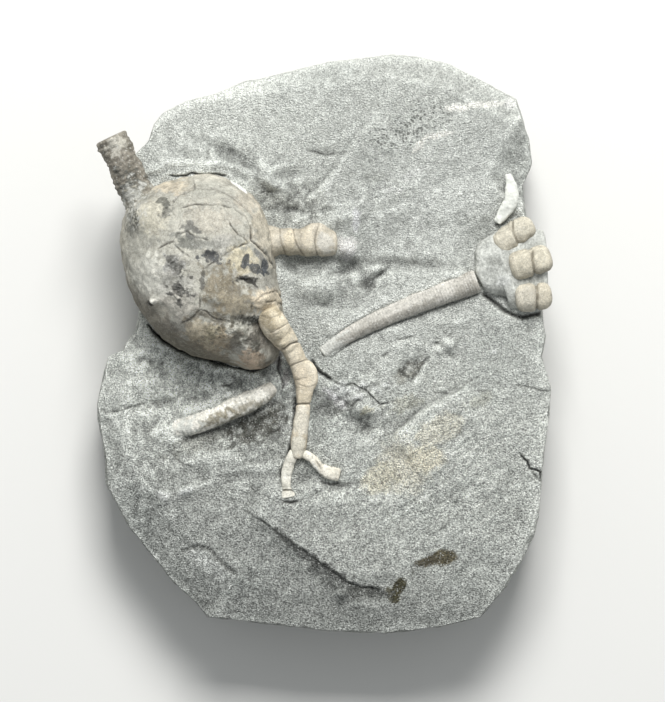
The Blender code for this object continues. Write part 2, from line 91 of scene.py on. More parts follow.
# Rises and hollows of the face: middle, half lengths along and across, height, turn in degrees
RISES = [
    ((14, 50), (36, 14), 2.2, 6),  # high ground at the top
    ((32, 40), (16, 9), 0.9, 0),
    ((-30, 40), (12, 4), 1.6, 10),  # stone left against the shoulder of the large cup
    ((-12, 35.5), (5, 2.4), 2.2, -50),
    ((-19, 40), (6, 2), -1.0, -12),
    ((-8.6, 29.8), (5.6, 3.4), -1.2, -18),  # hollow above the short arm
    ((-33.6, -18.9), (2.2, 2.6), 1.5, 24),  # stone lapping the ends of the column's far piece
    ((-9.4, -8.3), (1.8, 2.6), 1.4, 24),
    ((-9.5, 33.3), (3, 1.1), 1.6, -30),
    ((1.5, 26.5), (4, 2), 1.2, 30),
    ((-1, 41.2), (3.2, 1.0), -0.35, 5),
    ((0.5, 17.2), (7.5, 1.9), -0.4, 0),  # cleared ground below the short arm
    ((4.7, 20.6), (2.5, 2.4), 2.4, 0),  # lump at the end of the short arm
    ((6, 16.4), (3, 1.3), -0.5, 15),
    ((-1.5, 13), (5.5, 3), 1.2, 0),
    ((-0.3, 8.8), (3, 1.4), -0.7, 0),
    ((9.2, 13), (1.8, 1.9), -1.1, 0),  # pit
    ((11.9, 15.2), (2.4, 0.9), -1.6, 42),
    ((21, 24), (13, 5.5), -0.8, 0),  # shallow hollow on the right
    ((19, 17), (10, 1.4), -0.6, -2),
    ((32, 22), (2.4, 5), -0.8, -28),
    ((28, 5), (3, 1), 0.5, 15),
    ((25, -1), (2.6, 0.9), 0.6, 0),
    ((26.8, 0.2), (1.2, 1.1), 1.1, 0),
    ((18.3, -5), (3.4, 1.5), -0.8, 38),  # weathered mark
    ((26, -27), (22, 17), 1.6, 30),  # smooth plain at the lower right
    ((6, -10.5), (5, 1.8), 1.2, -25),  # broken debris beside the long arm
    ((7.6, -13.6), (3, 1.9), 1.9, 10),
    ((4, -13.5), (2, 1.4), 1.0, 40),
    ((9.6, -17.6), (3.6, 1.8), -0.35, 5),
    ((0.6, -14.2), (3.2, 2.2), -0.5, 0),
    ((-33, -14), (18, 17), -2.6, 0),  # low ground on the left
    ((-27, -1.5), (13, 3.2), -1.0, -27),
    ((-12.5, -5.6), (2.2, 1.4), -1.2, 40),
    ((-21.5, -5), (2.6, 1.4), 1.3, 10),
    ((-31.5, -4), (1.6, 3.6), 1.0, 10),
    ((-36, -12.6), (5, 1.2), -0.9, 5),
    ((-12.5, -15), (5.5, 3), -0.8, 24),  # trench below the column's far piece
    ((-26, -24.6), (6, 1.6), 0.9, 12),
    ((-14, -26.4), (6, 1.2), 0.9, 8),
    ((-20, -28.4), (6, 1), -0.6, 5),
    ((-34.6, -32.4), (1.7, 1.3), 1.2, 0),
    ((-28.4, -31), (2.6, 1.2), 1.1, 25),
    ((-3.8, -28.3), (2.3, 1.5), -1.2, 0),  # between the two branches
    ((-1, -33.5), (8, 2.4), 0.8, 0),
    ((3.5, -30.2), (4, 0.8), -1.0, 8),
]

# Crests: points, height, and how far they fade on the left and on the right of the line's run
CRESTS = [
    ([(-4, 28.8), (1.6, 35.4), (4.9, 39.9), (8.2, 44.8), (11.4, 47.7), (15, 49.4)], 0.85, 2.3, 6),
    ([(2, 26), (6.5, 28.3), (12.7, 31.1), (18.8, 32.4), (27, 32), (36.8, 34)], 0.5, 2.4, 7),
    ([(12.6, -22.4), (14.6, -20.4), (22, -14.2), (29, -9.8), (33, -7.6)], 2.0, 1.0, 8),
    ([(-17.5, -34.6), (-13.4, -37.4), (-10, -39.7), (-6.6, -42.1), (-2.2, -45.2), (2.4, -48.6),
      (4.9, -50.2), (8, -51.6), (11.8, -52), (15.6, -52.3), (21, -53)], 1.7, 12, 3.4),
    ([(-1, -51.8), (4.8, -54), (8.4, -56.1), (15, -59)], 0.5, 4, 2.2),
    ([(-31, -44.4), (-28.1, -43.8), (-26.4, -43.3), (-24, -44.5), (-21.9, -46.6), (-19.2, -49),
      (-16, -52)], 0.8, 2.2, 4),
    ([(-8, -1.5), (-5.2, -6), (-4.6, -12), (-5, -18), (-5.7, -24)], 2.0, 2.6, 3.4),
    ([(-10, -8.9), (-14.7, -11.4), (-23.1, -15.2), (-32.8, -18.7)], 1.0, 2.6, 3.4),
    ([(-14, -14.6), (-22, -18.6), (-31, -21.6)], -1.0, 2.8, 2.2),
    ([(33, 10.6), (24, 7.6), (11, 2.6), (1, -3.2)], -0.5, 2.0, 2.0),
    ([(-41, 35), (-34, 38.6), (-26.5, 38.8), (-19, 38), (-13.5, 34.5)], 0.9, 1.6, 1.2),
]

# Stone left against the large cup: its height on each bearing in degrees, and its reach
SHOULDER_BEARINGS = (-180, -150, -130, -60, -45, -32, -20, 8, 22, 34, 48, 62, 128, 150, 180)
SHOULDER_HEIGHTS = (0, 0, 1.4, 1.4, 0.8, 1.2, 2.0, 2.2, 1.4, 0.2, 0.4, 2.4, 2.6, 0.8, 0)
SHOULDER_REACH = 3.2

# Broken facets of the rim: a point on the cut, the bearing it falls towards, its fall, its reach
FACETS = [
    ((0, 55.5, 27.6), 101, 0.55, 40),
    ((22, 56.5, 27.6), 80, 0.6, 22),
    ((33, 52, 27.4), 58, 0.6, 18),
    ((38, 42.8, 27.4), -32, 0.7, 9),
    ((-31, 49, 26.8), 128, 0.6, 16),
    ((44, -14, 26), 0, 0.7, 26),
    ((38, -46, 24.6), -32, 0.75, 24),
    ((6, -58, 22.7), -93, 0.2, 40),
    ((-40, -34.5, 20.9), 212, 0.35, 16),
    ((-34, -45, 20.9), 222, 0.35, 16),
    ((-45.5, -14, 20.2), 180, 0.6, 20),
    ((-41, 1, 21), 140, 0.6, 8),
]

# ---- fine forms of the stone ----------------------------------------------------------------

# Small rises and pits: middle, half lengths, height, turn in degrees
SMALL_RISES = [
    ((-34.3, -32.4), (0.9, 0.7), 0.7, 0),
    ((-29.4, -31.4), (1.1, 0.7), 0.6, 20),
    ((36.4, -1.6), (0.6, 0.5), 0.4, 0),
    ((8.7, -17.7), (0.8, 0.6), -0.35, 0),
    ((26.8, -0.3), (0.9, 0.8), 0.8, 0),
    ((-19.9, -7.4), (1.4, 0.7), 0.6, 15),
    ((8.1, -8.7), (1.0, 0.5), 0.6, 20),
    ((11.3, -10.0), (1.2, 0.5), 0.6, -35),
    ((7.0, -11.3), (1.3, 0.6), 0.7, 10),
    ((13.2, -8.7), (0.7, 0.5), 0.5, 0),
    ((3.4, -10.2), (1.6, 0.7), 0.7, 30),
    ((1.6, -8.6), (0.9, 0.8), 0.6, 0),
    ((16.8, -6.2), (1.6, 0.5), -0.5, 38),
    ((19.4, -4.2), (1.2, 0.4), -0.4, 60),
    ((-21, 41.5), (3.5, 0.8), -0.4, -16),
    ((-16, 37.8), (3.5, 0.6), -0.5, -20),
    ((-26.5, 44), (2.0, 0.6), -0.3, 0),
    ((-8.2, 32.4), (2.4, 0.8), -0.8, -20),
    ((-6, 28.6), (3.2, 1.0), -0.6, -10),
    ((0.4, 33.5), (2.0, 1.0), 0.4, 40),
    ((4.6, 27.2), (1.6, 0.8), 0.5, 20),
    ((-33.0, -4.6), (1.4, 2.6), 0.8, 10),
    ((-27.4, -3.6), (3, 1.4), -0.8, -20),
    ((-21.5, -8.0), (2.4, 1.2), 1.1, 10),
    ((-21.2, -8.9), (1.0, 0.35), -0.7, 5),
    ((-25.8, -11.2), (1.8, 1.2), -0.8, 0),
    ((-11.0, -3.6), (0.9, 1.6), 0.9, 10),
    ((-8.6, -4.2), (0.6, 1.4), 0.6, 15),
    ((-7.9, -9.4), (0.9, 2.0), 0.8, -20),
    ((-15.5, -17.2), (5, 1.5), -0.6, 25),
    ((-39, -8), (3, 1.6), 0.7, 20),
    ((-43, -19), (2.4, 3), 0.6, 0),
    ((-37.6, -17.4), (4, 1.6), -0.7, 15),
    ((-24, -29), (3.4, 1.2), 0.6, 25),
    ((-19, -25), (3, 1), 0.5, 15),
    ((2.3, -11.6), (3.2, 1.1), 0.9, -46),
    ((-0.6, -13.8), (2, 1.8), -0.4, 0),
    ((7.3, -10.8), (1, 1.1), 0.5, 0),
    ((8.9, -14.2), (2.6, 1.4), 0.8, 0),
    ((9.4, -18), (2.2, 1.9), -0.35, 20),
    ((1.6, -20.5), (3.6, 4), 0.9, 0),
    ((16.8, -0.2), (3, 1.2), 0.3, 15),
    ((15.8, 2.8), (1.4, 0.8), 0.4, 10),
    ((18.8, -4.7), (3, 2.2), -0.6, 35),
    ((18.3, -5), (1.1, 0.5), 0.7, 40),
    ((27.4, -2.8), (0.6, 0.6), -0.4, 0),
    ((29, -19.5), (2.6, 1), -0.4, 42),
    ((4.9, 20.4), (1.9, 2.8), 1.2, 0),
    ((6.9, 26.6), (0.9, 2.6), 0.8, 0),
    ((8, 30.4), (1.4, 0.8), 0.5, 45),
    ((4.8, 15.8), (3.4, 1.0), -0.6, 12),
    ((9.1, 12.7), (1.4, 1.5), -0.5, 0),
    ((11.8, 16.3), (2.4, 0.8), 0.7, 22),
    ((-2.4, 12.4), (4, 2.6), 0.8, 0),
    ((0.3, 8.4), (2.2, 0.7), -0.5, 0),
    ((19.5, 17.3), (4.6, 0.8), -0.5, -8),
    ((-7.5, 16.8), (2.4, 1.2), -0.7, -20),
    ((33.6, 20.4), (1.6, 4), -0.6, -35),
    ((0.4, 42.4), (2.4, 1.1), 0.5, 10),
    ((-8, 36.2), (3, 0.9), -0.6, 12),
    ((-9.5, 38), (2.6, 0.9), 0.5, 15),
    ((-3.4, 32.7), (1.6, 0.7), -0.7, 25),
    ((-5.6, 34.8), (2.2, 0.8), 0.5, 20),
    ((3.6, -53.4), (1.6, 0.8), 0.8, 10),
    ((9.2, -55.8), (3, 1.0), 0.6, -15),
    ((27, -38), (4, 0.5), -0.3, 34),
    ((20, -33), (5, 0.6), -0.25, 34),
    ((31, -30), (5, 0.6), -0.25, 32),
    ((13, -38), (5, 0.7), 0.25, 30),
    ((5, -41), (5, 1.2), 0.3, 5),
    ((-20, -38), (5, 1.4), 0.4, 15),
    ((-30, -37), (4, 1.4), -0.4, 30),
    ((-12, -47), (6, 1.4), 0.35, -5),
    ((-4, -55), (6, 1.4), -0.35, 0),
]

# Small crests: points, height, fade on the left and on the right of the line's run
SMALL_CRESTS = [
    ([(-17.2, -35.8), (-12, -39.2), (-8.4, -42), (-2.4, -46), (4.2, -50.6), (8.4, -52.2),
      (14, -53)], -0.35, 0.5, 1.9),
    ([(-5.2, 29.9), (0.6, 36.4), (4, 40.8), (7.2, 45.8), (9.6, 48.2)], -0.3, 0.9, 0.9),
    ([(31, 15.9), (23.2, 12.6), (15.6, 9.7), (10.1, 7.2), (4.8, 4.4), (0.5, 1.2)], 0.9, 0.9, 2.6),
    ([(-11, -6.4), (-15.4, -8.7), (-23.7, -12.4), (-31.5, -15.6)], 0.8, 1.2, 2.2),
]

# Lines broken into the stone, each painted dark in its depth as painted shade, the gap under the
# large cup among them: points, half width, depth
GROOVES = [
    ([(-2.9, -3.2), (-1.9, -5), (-0.4, -6.3), (2, -7.8)], 0.42, 1.2),
    ([(2, -7.8), (4.1, -9), (6.2, -8.4), (8.3, -9.5), (10.1, -11), (11.9, -12.8), (14, -12.7)],
     0.2, 0.5),
    ([(23, -10.4), (27.5, -10.4), (30.5, -8.3), (33.5, -6.8)], 0.22, 0.25),
    ([(8, -11), (6.1, -12.8), (5.3, -15.8)], 0.2, 0.3),
    ([(-33.3, 35.9), (-29.8, 35.8), (-28.3, 36.5), (-26.4, 36.2), (-23.3, 36.3), (-20.7, 35.9)],
     0.19, 0.7),
    ([(-3.5, 41.2), (-1.6, 41.2), (0, 40.3), (2.5, 40.9)], 0.2, 0.3),
    ([(2.7, 45), (4.3, 46.7)], 0.3, 0.2),
    ([(-30.8, -44.4), (-28.8, -43.8), (-26.7, -43.2), (-24.7, -43.9), (-22.6, -45.9),
      (-20.6, -47.9), (-18.5, -49.5)], 0.5, 0.36),
    ([(-17.4, -35.1), (-13.8, -37.6), (-10.3, -40), (-7, -42.4), (-2.5, -45.6), (2.1, -48.9),
      (4.6, -50.6), (7.8, -52), (11.4, -52.4)], 0.26, 0.3),
    ([(7.6, 29.6), (9, 30.5), (12.3, 32), (15.9, 32.6), (19.6, 33.5)], 0.22, 0.1),
    ([(36.4, 25.6), (38.4, 26.2)], 0.25, 0.5),
    ([(-31.8, -24.5), (-30, -25.7), (-27.9, -26.6)], 0.25, 0.35),
    ([(-6.0, -11.0), (-6.3, -13.4), (-6.5, -19.6), (-7.4, -23.7), (-8.6, -26), (-9.4, -29)], 0.5,
     0.8),
    ([(-9, -10.1), (-8.8, -8.6), (-9.3, -7.1), (-9.9, -5), (-9.6, -2.3)], 0.22, 0.5),
    ([(15.2, 1), (17, 1.2), (19.4, 1.75)], 0.25, 0.35),
    ([(12.2, -2.6), (14, -1.7)], 0.3, 0.3),
    ([(-10.6, 32.6), (-12.2, 32.8), (-13.8, 32.2)], 0.25, 0.4),
    ([(25.4, -10.9), (27.6, -10.6), (29.2, -9.4)], 0.2, 0.25),
    ([(40.8, -8.7), (44, -9.3), (48.5, -10.2)], 0.25, 0.3),
    ([(41.8, -23.3), (43.5, -25), (44, -26.5), (46.2, -27.3), (46.4, -29.4)], 0.26, 0.9),
    ([(44, -26.5), (45.2, -28.2), (46.4, -29.4)], 0.2, 0.4),
    ([(23.2, 0.2), (25.1, 0.2)], 0.25, 0.45),
    ([(12.8, -9.5), (14, -9.7)], 0.22, 0.35),
    ([(15.5, -5), (17, -6.8), (18.5, -7.7), (20.3, -5.3), (22.4, -2.6)], 0.4, 0.4),
    ([(-48.4, -13.8), (-46.7, -14.5), (-44.1, -14.3), (-40.9, -13.2), (-37.9, -12.6)], 0.24, 0.3),
    ([(13, 17.5), (14.4, 17.4)], 0.22, 0.3),
    ([(31.4, -10.1), (34.4, -10.1)], 0.2, 0.25),
    ([(-9.3, -33.6), (-7.2, -33.9), (-5.3, -33.5)], 0.3, 0.6),
    ([(-1.2, -29.5), (1.4, -29.9), (3.6, -29.4)], 0.3, 0.5),
    ([(33.6, 11), (35.6, 9.6), (37.9, 7.7), (40.3, 6.3), (42.4, 5.7), (45.2, 6.4), (47.3, 7.1)],
     0.45, 1.0),
    ([(33, 10.8), (24.8, 7.9), (17, 5.1), (11.5, 2.9), (6.2, 0.5), (1.0, -3.1)], 0.25, 0.3),
    ([(-38, 4.4), (-35.3, 1.7), (-31.6, -0.8), (-27.6, -2.3), (-23.9, -3.4), (-19.9, -4.8),
      (-15.2, -5.7), (-12.6, -4.8), (-10.4, -1.8)], 0.32, 1.2),
    ([(-36.8, 3), (-34.6, 1), (-31.4, -1.1), (-27.4, -2.7), (-23.7, -3.8), (-21, -4.8)], 0.6, 1.0),
    ([(-9.8, -11.8), (-14, -14.2), (-22, -17.6), (-30.5, -20.6)], 0.7, 0.45),
]

# Ground that broke rough, and ground that split smooth: middle, half lengths, turn, strength
BROKEN = [
    ((-28, -6), (22, 9), -20, 1.0),
    ((-38, -20), (11, 16), 0, 0.6),
    ((-18, -22), (16, 9), 15, 0.5),
    ((7, -12), (9, 6), 0, 0.9),
    ((-6, 30), (9, 5), -15, 1.0),
    ((-22, 39.5), (14, 3.5), -8, 0.6),
    ((8, 15), (8, 4), 0, 0.8),
    ((18, 27), (16, 8), 0, 0.35),
    ((0, -30), (12, 4), 0, 0.4),
    ((20, -4), (7, 4), 20, 0.5),
    ((43, 30), (5, 20), 0, 0.5),
]

# Roughness of the ground, from lumps as big as pebbles to crumbs: size, height, seed, its share on
# smooth ground, and the share that broken ground adds
ROUGHNESS = [
    (6.5, 0.6, 24, 0.12, 0.55),
    (3.2, 0.34, 21, 0.14, 0.9),
    (1.4, 0.15, 22, 0.35, 1.3),
]

# Steps where thin layers and chips came away: size, steepness, seed, height on smooth ground, and
# the height that broken ground adds
STEPS = [
    (11, 9, 25, 0.07, 0.12),
    (4, 6, 26, 0.05, 0.2),
]

# Ground painted paler, as painted light: middle, half lengths, turn, colour, strength
PAINTED_LIGHT_GROUND = [
    ((-20, 48), (22, 14), 0, "#e2e4dc", 0.95),
    ((-32, -9), (16, 14), 0, "#eef0e7", 0.9),
    ((12, 4), (20, 9), 0, "#d6d8d1", 0.7),
    ((24, -24), (20, 18), 30, "#dadcd4", 0.85),
    ((26, 32), (17, 12), 0, "#e3e5de", 0.95),
]

# Colour on the stone: its stains and pale lumps, with painted shade in its hollows, pits, trenches,
# cracks and on slopes that face away from the light, and painted highlights along lit edges:
# middle, half lengths, turn, colour, strength, raggedness
SLAB_STAINS_AND_PAINTED_LIGHT = [
    # painted shade in the hollow above the short arm and in the dip along the large cup's top
    ((-8, 28.5), (7.5, 4.2), -15, "#93938b", 0.2, 0.9),
    ((-16, 36.8), (7, 2.2), -18, "#83857f", 0.35, 0.8),
    # painted highlights along the lit edges of the ledge and of the crests
    ((-11, -37.9), (6.5, 0.45), -37, "#d3d5ce", 0.6, 0.6),
    ((0.4, -46.3), (6.5, 0.45), -38, "#d3d5ce", 0.6, 0.6),
    ((9.4, -51), (4.4, 0.4), -8, "#cfd1ca", 0.5, 0.6),
    ((7.6, 47.2), (5, 0.5), 45, "#d5d7d0", 0.5, 0.6),
    ((2.6, 35.9), (6.5, 0.5), 50, "#d5d7d0", 0.5, 0.6),
    ((14.4, 30.8), (7, 1), 22, "#d2d4cc", 0.5, 0.7),
    ((-28.8, 40.6), (3.2, 1.4), 0, "#8d8f88", 0.45, 0.9),
    ((-21, 42.4), (5, 1.4), -12, "#8f918b", 0.4, 0.9),
    # painted shade in the pit
    ((9.2, 12.9), (1.7, 1.8), 0, "#6a6a63", 0.35, 0.6),
    # painted shade under the large cup, then painted light where its shadow falls
    ((-24, -2.4), (12, 1.4), -27, "#8a8b84", 0.2, 0.8),
    ((-22.6, -5.6), (8, 2), -20, "#f0f2ea", 0.8, 0.9),
    # painted shade in the trenches below the far piece and beside the long arm
    ((-14.5, -16), (8, 2.2), 25, "#77766c", 0.5, 0.9),
    ((-26, -20.6), (8, 1.7), 20, "#8b8a80", 0.5, 0.7),
    ((-10.5, -19), (2.6, 6), 0, "#8b8c85", 0.5, 0.7),
    ((17.3, -26), (6.2, 6.6), 35, "#e3decb", 0.75, 0.3),
    ((12, -28.6), (4.4, 3.2), 35, "#e0dbc6", 0.8, 0.3),
    ((21.8, -24.5), (4.2, 2.8), 10, "#e4dec8", 0.8, 0.3),
    ((24.5, -18.2), (6, 3.2), 28, "#dcd8c6", 0.7, 0.35),
    ((33.3, -11.9), (3, 1.2), 25, "#bfbfb0", 0.5, 0.6),
    ((17.4, -12.6), (3.4, 1.6), 10, "#a09e8c", 0.5, 0.8),
    ((25.6, -45.6), (3, 1.7), 8, "#68624f", 1.0, 0.2),
    ((22.4, -46.4), (2.8, 1), 14, "#655f4f", 1.0, 0.2),
    ((20.5, -46.9), (1.2, 0.3), 14, "#7b786b", 0.8, 0.3),
    ((15.9, -51.9), (1.25, 2.3), -32, "#545140", 1.0, 0.15),
    ((14.9, -54), (1.3, 1.5), 20, "#565340", 1.0, 0.15),
    ((14.0, -52.8), (1.1, 0.8), -35, "#605d4d", 0.95, 0.3),
    ((19, -48.7), (0.35, 0.5), 0, "#5c5c55", 0.8, 0.3),
    # painted shade on the slope below the ledge
    ((-8.6, -42.8), (8, 1.5), -38, "#7b7e79", 0.6, 0.7),
    ((2.4, -50.6), (6, 2.2), -34, "#666763", 0.65, 0.8),
    ((-7.8, -42), (3.6, 1.0), -45, "#565753", 0.65, 0.5),
    ((-3.4, -45.5), (3.8, 1.2), -34, "#50514e", 0.75, 0.5),
    ((1.4, -48.4), (3.6, 1.0), -36, "#50514e", 0.6, 0.5),
    ((9.8, -52.7), (3, 0.9), -16, "#565752", 0.5, 0.5),
    ((9.6, -53), (5.6, 1.3), -6, "#62635e", 0.7, 0.6),
    # painted light on the hump below the curved ridge, and painted shade along the ridge
    ((-24.6, -47), (5.6, 1.3), -38, "#d2d4ce", 0.8, 0.8),
    ((-25, -43.3), (5, 0.35), -8, "#7b7d79", 0.5, 0.6),
    ((18.2, -5.6), (3.4, 1.7), 35, "#87857a", 0.7, 0.5),
    ((18.4, -5.2), (1.5, 0.6), 40, "#d3d4cc", 0.75, 0.3),
    ((26.8, -0.3), (1.1, 1.0), 0, "#d2d4cd", 0.8, 0.3),
    ((8.1, -8.7), (1.2, 0.6), 20, "#dfe1dc", 0.8, 0.4),
    ((11.3, -10), (1.4, 0.5), -35, "#dfe1dc", 0.7, 0.4),
    ((7, -11.3), (1.6, 0.8), 10, "#d9dad6", 0.7, 0.5),
    ((13.2, -8.7), (0.8, 0.5), 0, "#dfe1dc", 0.7, 0.4),
    ((3.2, -10.3), (3.6, 2.0), 25, "#cfd0ce", 0.5, 0.7),
    # painted shade in a hollow
    ((8.7, -17.7), (1.3, 1.0), 0, "#6f706b", 0.35, 0.6),
    ((5.2, -13.4), (2.2, 1.0), 30, "#858680", 0.5, 0.7),
    ((-34.3, -32.4), (1.3, 1.0), 0, "#dcddd8", 0.8, 0.4),
    ((-29.4, -31.4), (1.8, 0.9), 20, "#d6d8d3", 0.7, 0.5),
    ((36.4, -1.6), (0.6, 0.5), 0, "#eceee8", 0.9, 0.2),
    ((-19.9, -7.4), (1.6, 0.7), 15, "#d5d6d0", 0.7, 0.4),
    ((28.5, 50.5), (2.8, 0.9), 0, "#fdfcf3", 1.0, 0.35),
    ((34.5, 51.2), (5, 0.7), 5, "#fdfcf3", 1.0, 0.35),
    ((40, 51.6), (1.6, 1.0), 10, "#f0f0ea", 0.9, 0.5),
    ((24.2, 44.6), (3.4, 0.6), 12, "#fdfcf3", 1.0, 0.35),
    ((20.4, 42.6), (2.4, 0.7), 50, "#fdfcf3", 1.0, 0.35),
    ((19.2, 36.4), (2.8, 0.9), 18, "#eeefe9", 0.8, 0.6),
    ((14.4, 32.9), (2.2, 0.6), 5, "#e9eae4", 0.75, 0.5),
    ((11.2, 35.6), (2.6, 0.8), 8, "#9a9b93", 0.4, 0.8),
    # painted shade on the broken facets of the right rim, which face away from the light
    ((40, 41.5), (3, 3.4), -30, "#8c8e89", 0.35, 0.5),
    ((42.4, 46), (1.6, 3), -20, "#969892", 0.35, 0.5),
    ((6.9, 26.6), (0.9, 2.4), 0, "#cfced0", 0.6, 0.5),
    ((4.9, 20.2), (1.9, 2.6), 0, "#cbc8c8", 0.7, 0.4),
    ((-10, -3.4), (1.0, 1.8), 10, "#b9b3b2", 0.6, 0.5),
    ((-8.2, -6.6), (0.8, 2.6), -10, "#bab4b2", 0.5, 0.5),
    ((2.3, -11.6), (3, 0.9), -46, "#c8c5c6", 0.5, 0.6),
    ((8.9, -14.2), (1.6, 0.8), 0, "#c4bfa6", 0.6, 0.6),
    # painted shade in the hollow by the long arm and in the trough below the far piece, whose rough
    # ground is dark as well
    ((-0.6, -13.8), (1.9, 1.7), 0, "#81827d", 0.3, 0.7),
    ((-14.6, -16.8), (5.6, 2), 20, "#5f5d53", 0.6, 1.2),
    ((-15.4, -18.6), (7, 3), 18, "#55544d", 0.8, 0.9),
    # painted shade in a small pit
    ((-21.2, -8.9), (1.0, 0.4), 5, "#6f6e68", 0.8, 0.4),
    # painted shade in the hollow by the small cup and in the valley below the short arm's end
    ((34, 24.5), (3, 4), 40, "#9a9c95", 0.4, 0.8),
    ((14, 18.2), (9, 1.1), -3, "#9b9c95", 0.45, 0.7),
    ((4.6, 20.9), (2.6, 2.3), 0, "#dedcd6", 0.7, 0.5),
    # painted shade by the crescent crack
    ((0.6, 41), (3.2, 0.4), 0, "#8e8f89", 0.4, 0.5),
    ((6.2, 11.6), (4.8, 2.4), 8, "#9a9b95", 0.5, 0.9),
    ((46.5, 13.9), (3.4, 1.1), 8, "#8f918b", 0.6, 0.4),
    ((37, 11.4), (2.4, 4), 20, "#b4b5b0", 0.4, 0.5),
]

# Fields of dark grains: middle, half lengths, turn, strength
DARK_GRAINS = [
    ((15.8, 45), (5.8, 3.2), 10, 1.0),
    ((19.6, 47.6), (6.8, 2.3), 30, 1.0),
    ((24.2, 48), (3, 1.8), 15, 1.0),
    ((-17, -17.4), (6, 2), 25, 0.8),
    ((-22.4, -15.4), (2.4, 1), 25, 0.8),
]
DARK_GRAIN_SPACING = 0.8

# ---- fossils --------------------------------------------------------------------------------

# Large cup: middle, half height, and the reach of its outline on each bearing in degrees
CUP_AT = Vector((-26.5, 15.5, 26))
CUP_RISE = 15.5
CUP_OUTLINE = [(-165, 15.2), (-142, 15.3), (-122, 16), (-107, 16.7), (-94, 17.7), (-82, 18.9),
               (-71, 21), (-61, 23.8), (-54, 24.8), (-44, 24), (-34, 21), (-13, 17.2), (4, 16),
               (15, 15.8), (27, 16.4), (37, 17.9), (44, 18.9), (51, 19.6), (61, 20.4),
               (70, 21), (90, 21.2), (107, 20.6), (123, 20.2), (141, 20.4), (155, 18.7),
               (171, 16.8), (195, 15.2)]
CUP_RISES = [
    ((-13.2, 9.8), (3.6, 3.2), 1.1, 0),  # collar of the long arm
    ((-12, 22), (3.6, 4.4), 1.8, 0),  # foot of the short arm
    ((-37.5, 29), (4.5, 4.5), 1.6, 0),  # foot of the stem
    ((-31, 27), (6, 5), 0.6, 20),
    ((-21, 25), (6, 5), 0.7, 0),
    ((-34, 14), (5, 6), 0.7, 0),
    ((-20.5, 12), (6, 5), 0.6, -20),
    ((-25, 2.4), (5.4, 3.8), 1.1, -30),
    ((-15.6, -3.4), (3.2, 2.6), 1.3, -20),
    ((-19.4, -1.4), (1.6, 2.6), -0.7, -30),
    ((-12.6, 1.6), (2.6, 3), -1.0, -10),
    ((-17.5, 4.6), (6.4, 1.3), -0.7, -12),
    ((-28.6, 5.4), (3.6, 1.1), -0.5, 38),
    ((-35.9, 9.3), (1.2, 1), 0.8, 0),
]

# Crests of the large cup: points, height, fade on the left and on the right of the line's run
CUP_CRESTS = [
    ([(-16.2, 6.4), (-16.4, 8.6), (-14.8, 10.6), (-12, 11.4), (-9.4, 10.2), (-8, 8)], 0.85, 2.6,
     2.4),
    ([(-26.2, 8), (-25.4, 14.4), (-21.4, 18), (-16.8, 21)], 0.35, 2.4, 2.4),
    ([(-30.5, 4.2), (-26.2, 6.9), (-21, 4.6)], 0.45, 2.6, 2.4),
    ([(-32, 27), (-27, 30.4), (-21.4, 30.4), (-17, 27), (-14.6, 22)], 0.3, 1.8, 2.2),
]

# Dents and small swellings of the large cup: middle, half lengths, height, turn
CUP_DENTS = [
    ((-36.9, 8.7), (0.6, 0.6), -0.9, 0),
    ((-35.7, 9.6), (0.7, 0.5), 0.45, 20),
    ((-24, 18.8), (2.2, 0.9), -0.35, 0),
    ((-24.5, 20), (2, 0.6), 0.25, -10),
    ((-16.8, 17.2), (0.6, 1.2), -0.35, -12),
    ((-13.2, 16), (0.8, 1.3), -0.35, 14),
    ((-17, 13.4), (2, 0.6), -0.6, -12),
    ((-16.6, 14.5), (1.6, 0.5), 0.35, -12),
    ((-30.4, 11.2), (1.6, 1.2), -0.35, -30),
    ((-28.3, 24.4), (1.4, 1), -0.25, 0),
    ((-32, 17.4), (2.4, 1.2), -0.3, -35),
    ((-31, 15), (2.6, 1.6), 0.35, 0),
    ((-22.2, 21.2), (1.8, 1.6), 0.3, 0),
    ((-24.5, 25.4), (3.6, 2.4), 0.35, 0),
    ((-16.4, 5), (3, 1.2), -0.5, -6),
    ((-12, 1), (1.8, 2.6), -0.7, 20),
    ((-21.5, 9.6), (3.4, 2.4), 0.4, -20),
    ((-37.5, 20.5), (3, 0.8), -0.2, 20),
]

# Paths of the round pieces: x, y, z, half width and half height at each joint
STEM = [(-36.5, 26, 27, 4.4, 4.4), (-39.4, 31.4, 27, 3.9, 3.9), (-42.2, 37.2, 27.2, 3.6, 3.6),
        (-45.6, 44.3, 27.6, 3.55, 3.55)]
SHORT_ARM = [(-15.5, 21.4, 26.4, 5, 4.6), (-9.1, 22, 26.8, 3.1, 3.3), (-5.5, 21.8, 26.6, 3, 3.2),
             (-1.8, 21.6, 26.2, 3, 3), (2.5, 21.6, 25.4, 2.5, 2.5)]
LONG_ARM = [(-12.4, 7.6, 35.2, 2.4, 2.1), (-11.6, 5.9, 34.9, 2.8, 2.4),
            (-9.4, 2.4, 32.5, 2.75, 2.5), (-7.2, -0.6, 30, 2.2, 2.1), (-5.6, -3.8, 28.4, 2.1, 2),
            (-3.9, -7, 27.4, 2.75, 1.9), (-4.2, -9.6, 27, 2, 1.7), (-4.4, -12.6, 26.8, 1.55, 1.6),
            (-5.1, -18, 26.1, 1.75, 1.6), (-5.6, -22.6, 25.4, 1.5, 1.4),
            (-5.8, -24.4, 25.2, 0.9, 1.1)]
LEFT_BRANCH = [(-6.3, -22.8, 24.9, 1, 1), (-7.4, -25.4, 24.8, 1.2, 1.15), (-8.1, -28, 24.5, 1.2, 1.1),
               (-8.1, -30.6, 24.2, 1.1, 1.05), (-7.7, -32.8, 24, 1.6, 1.1)]
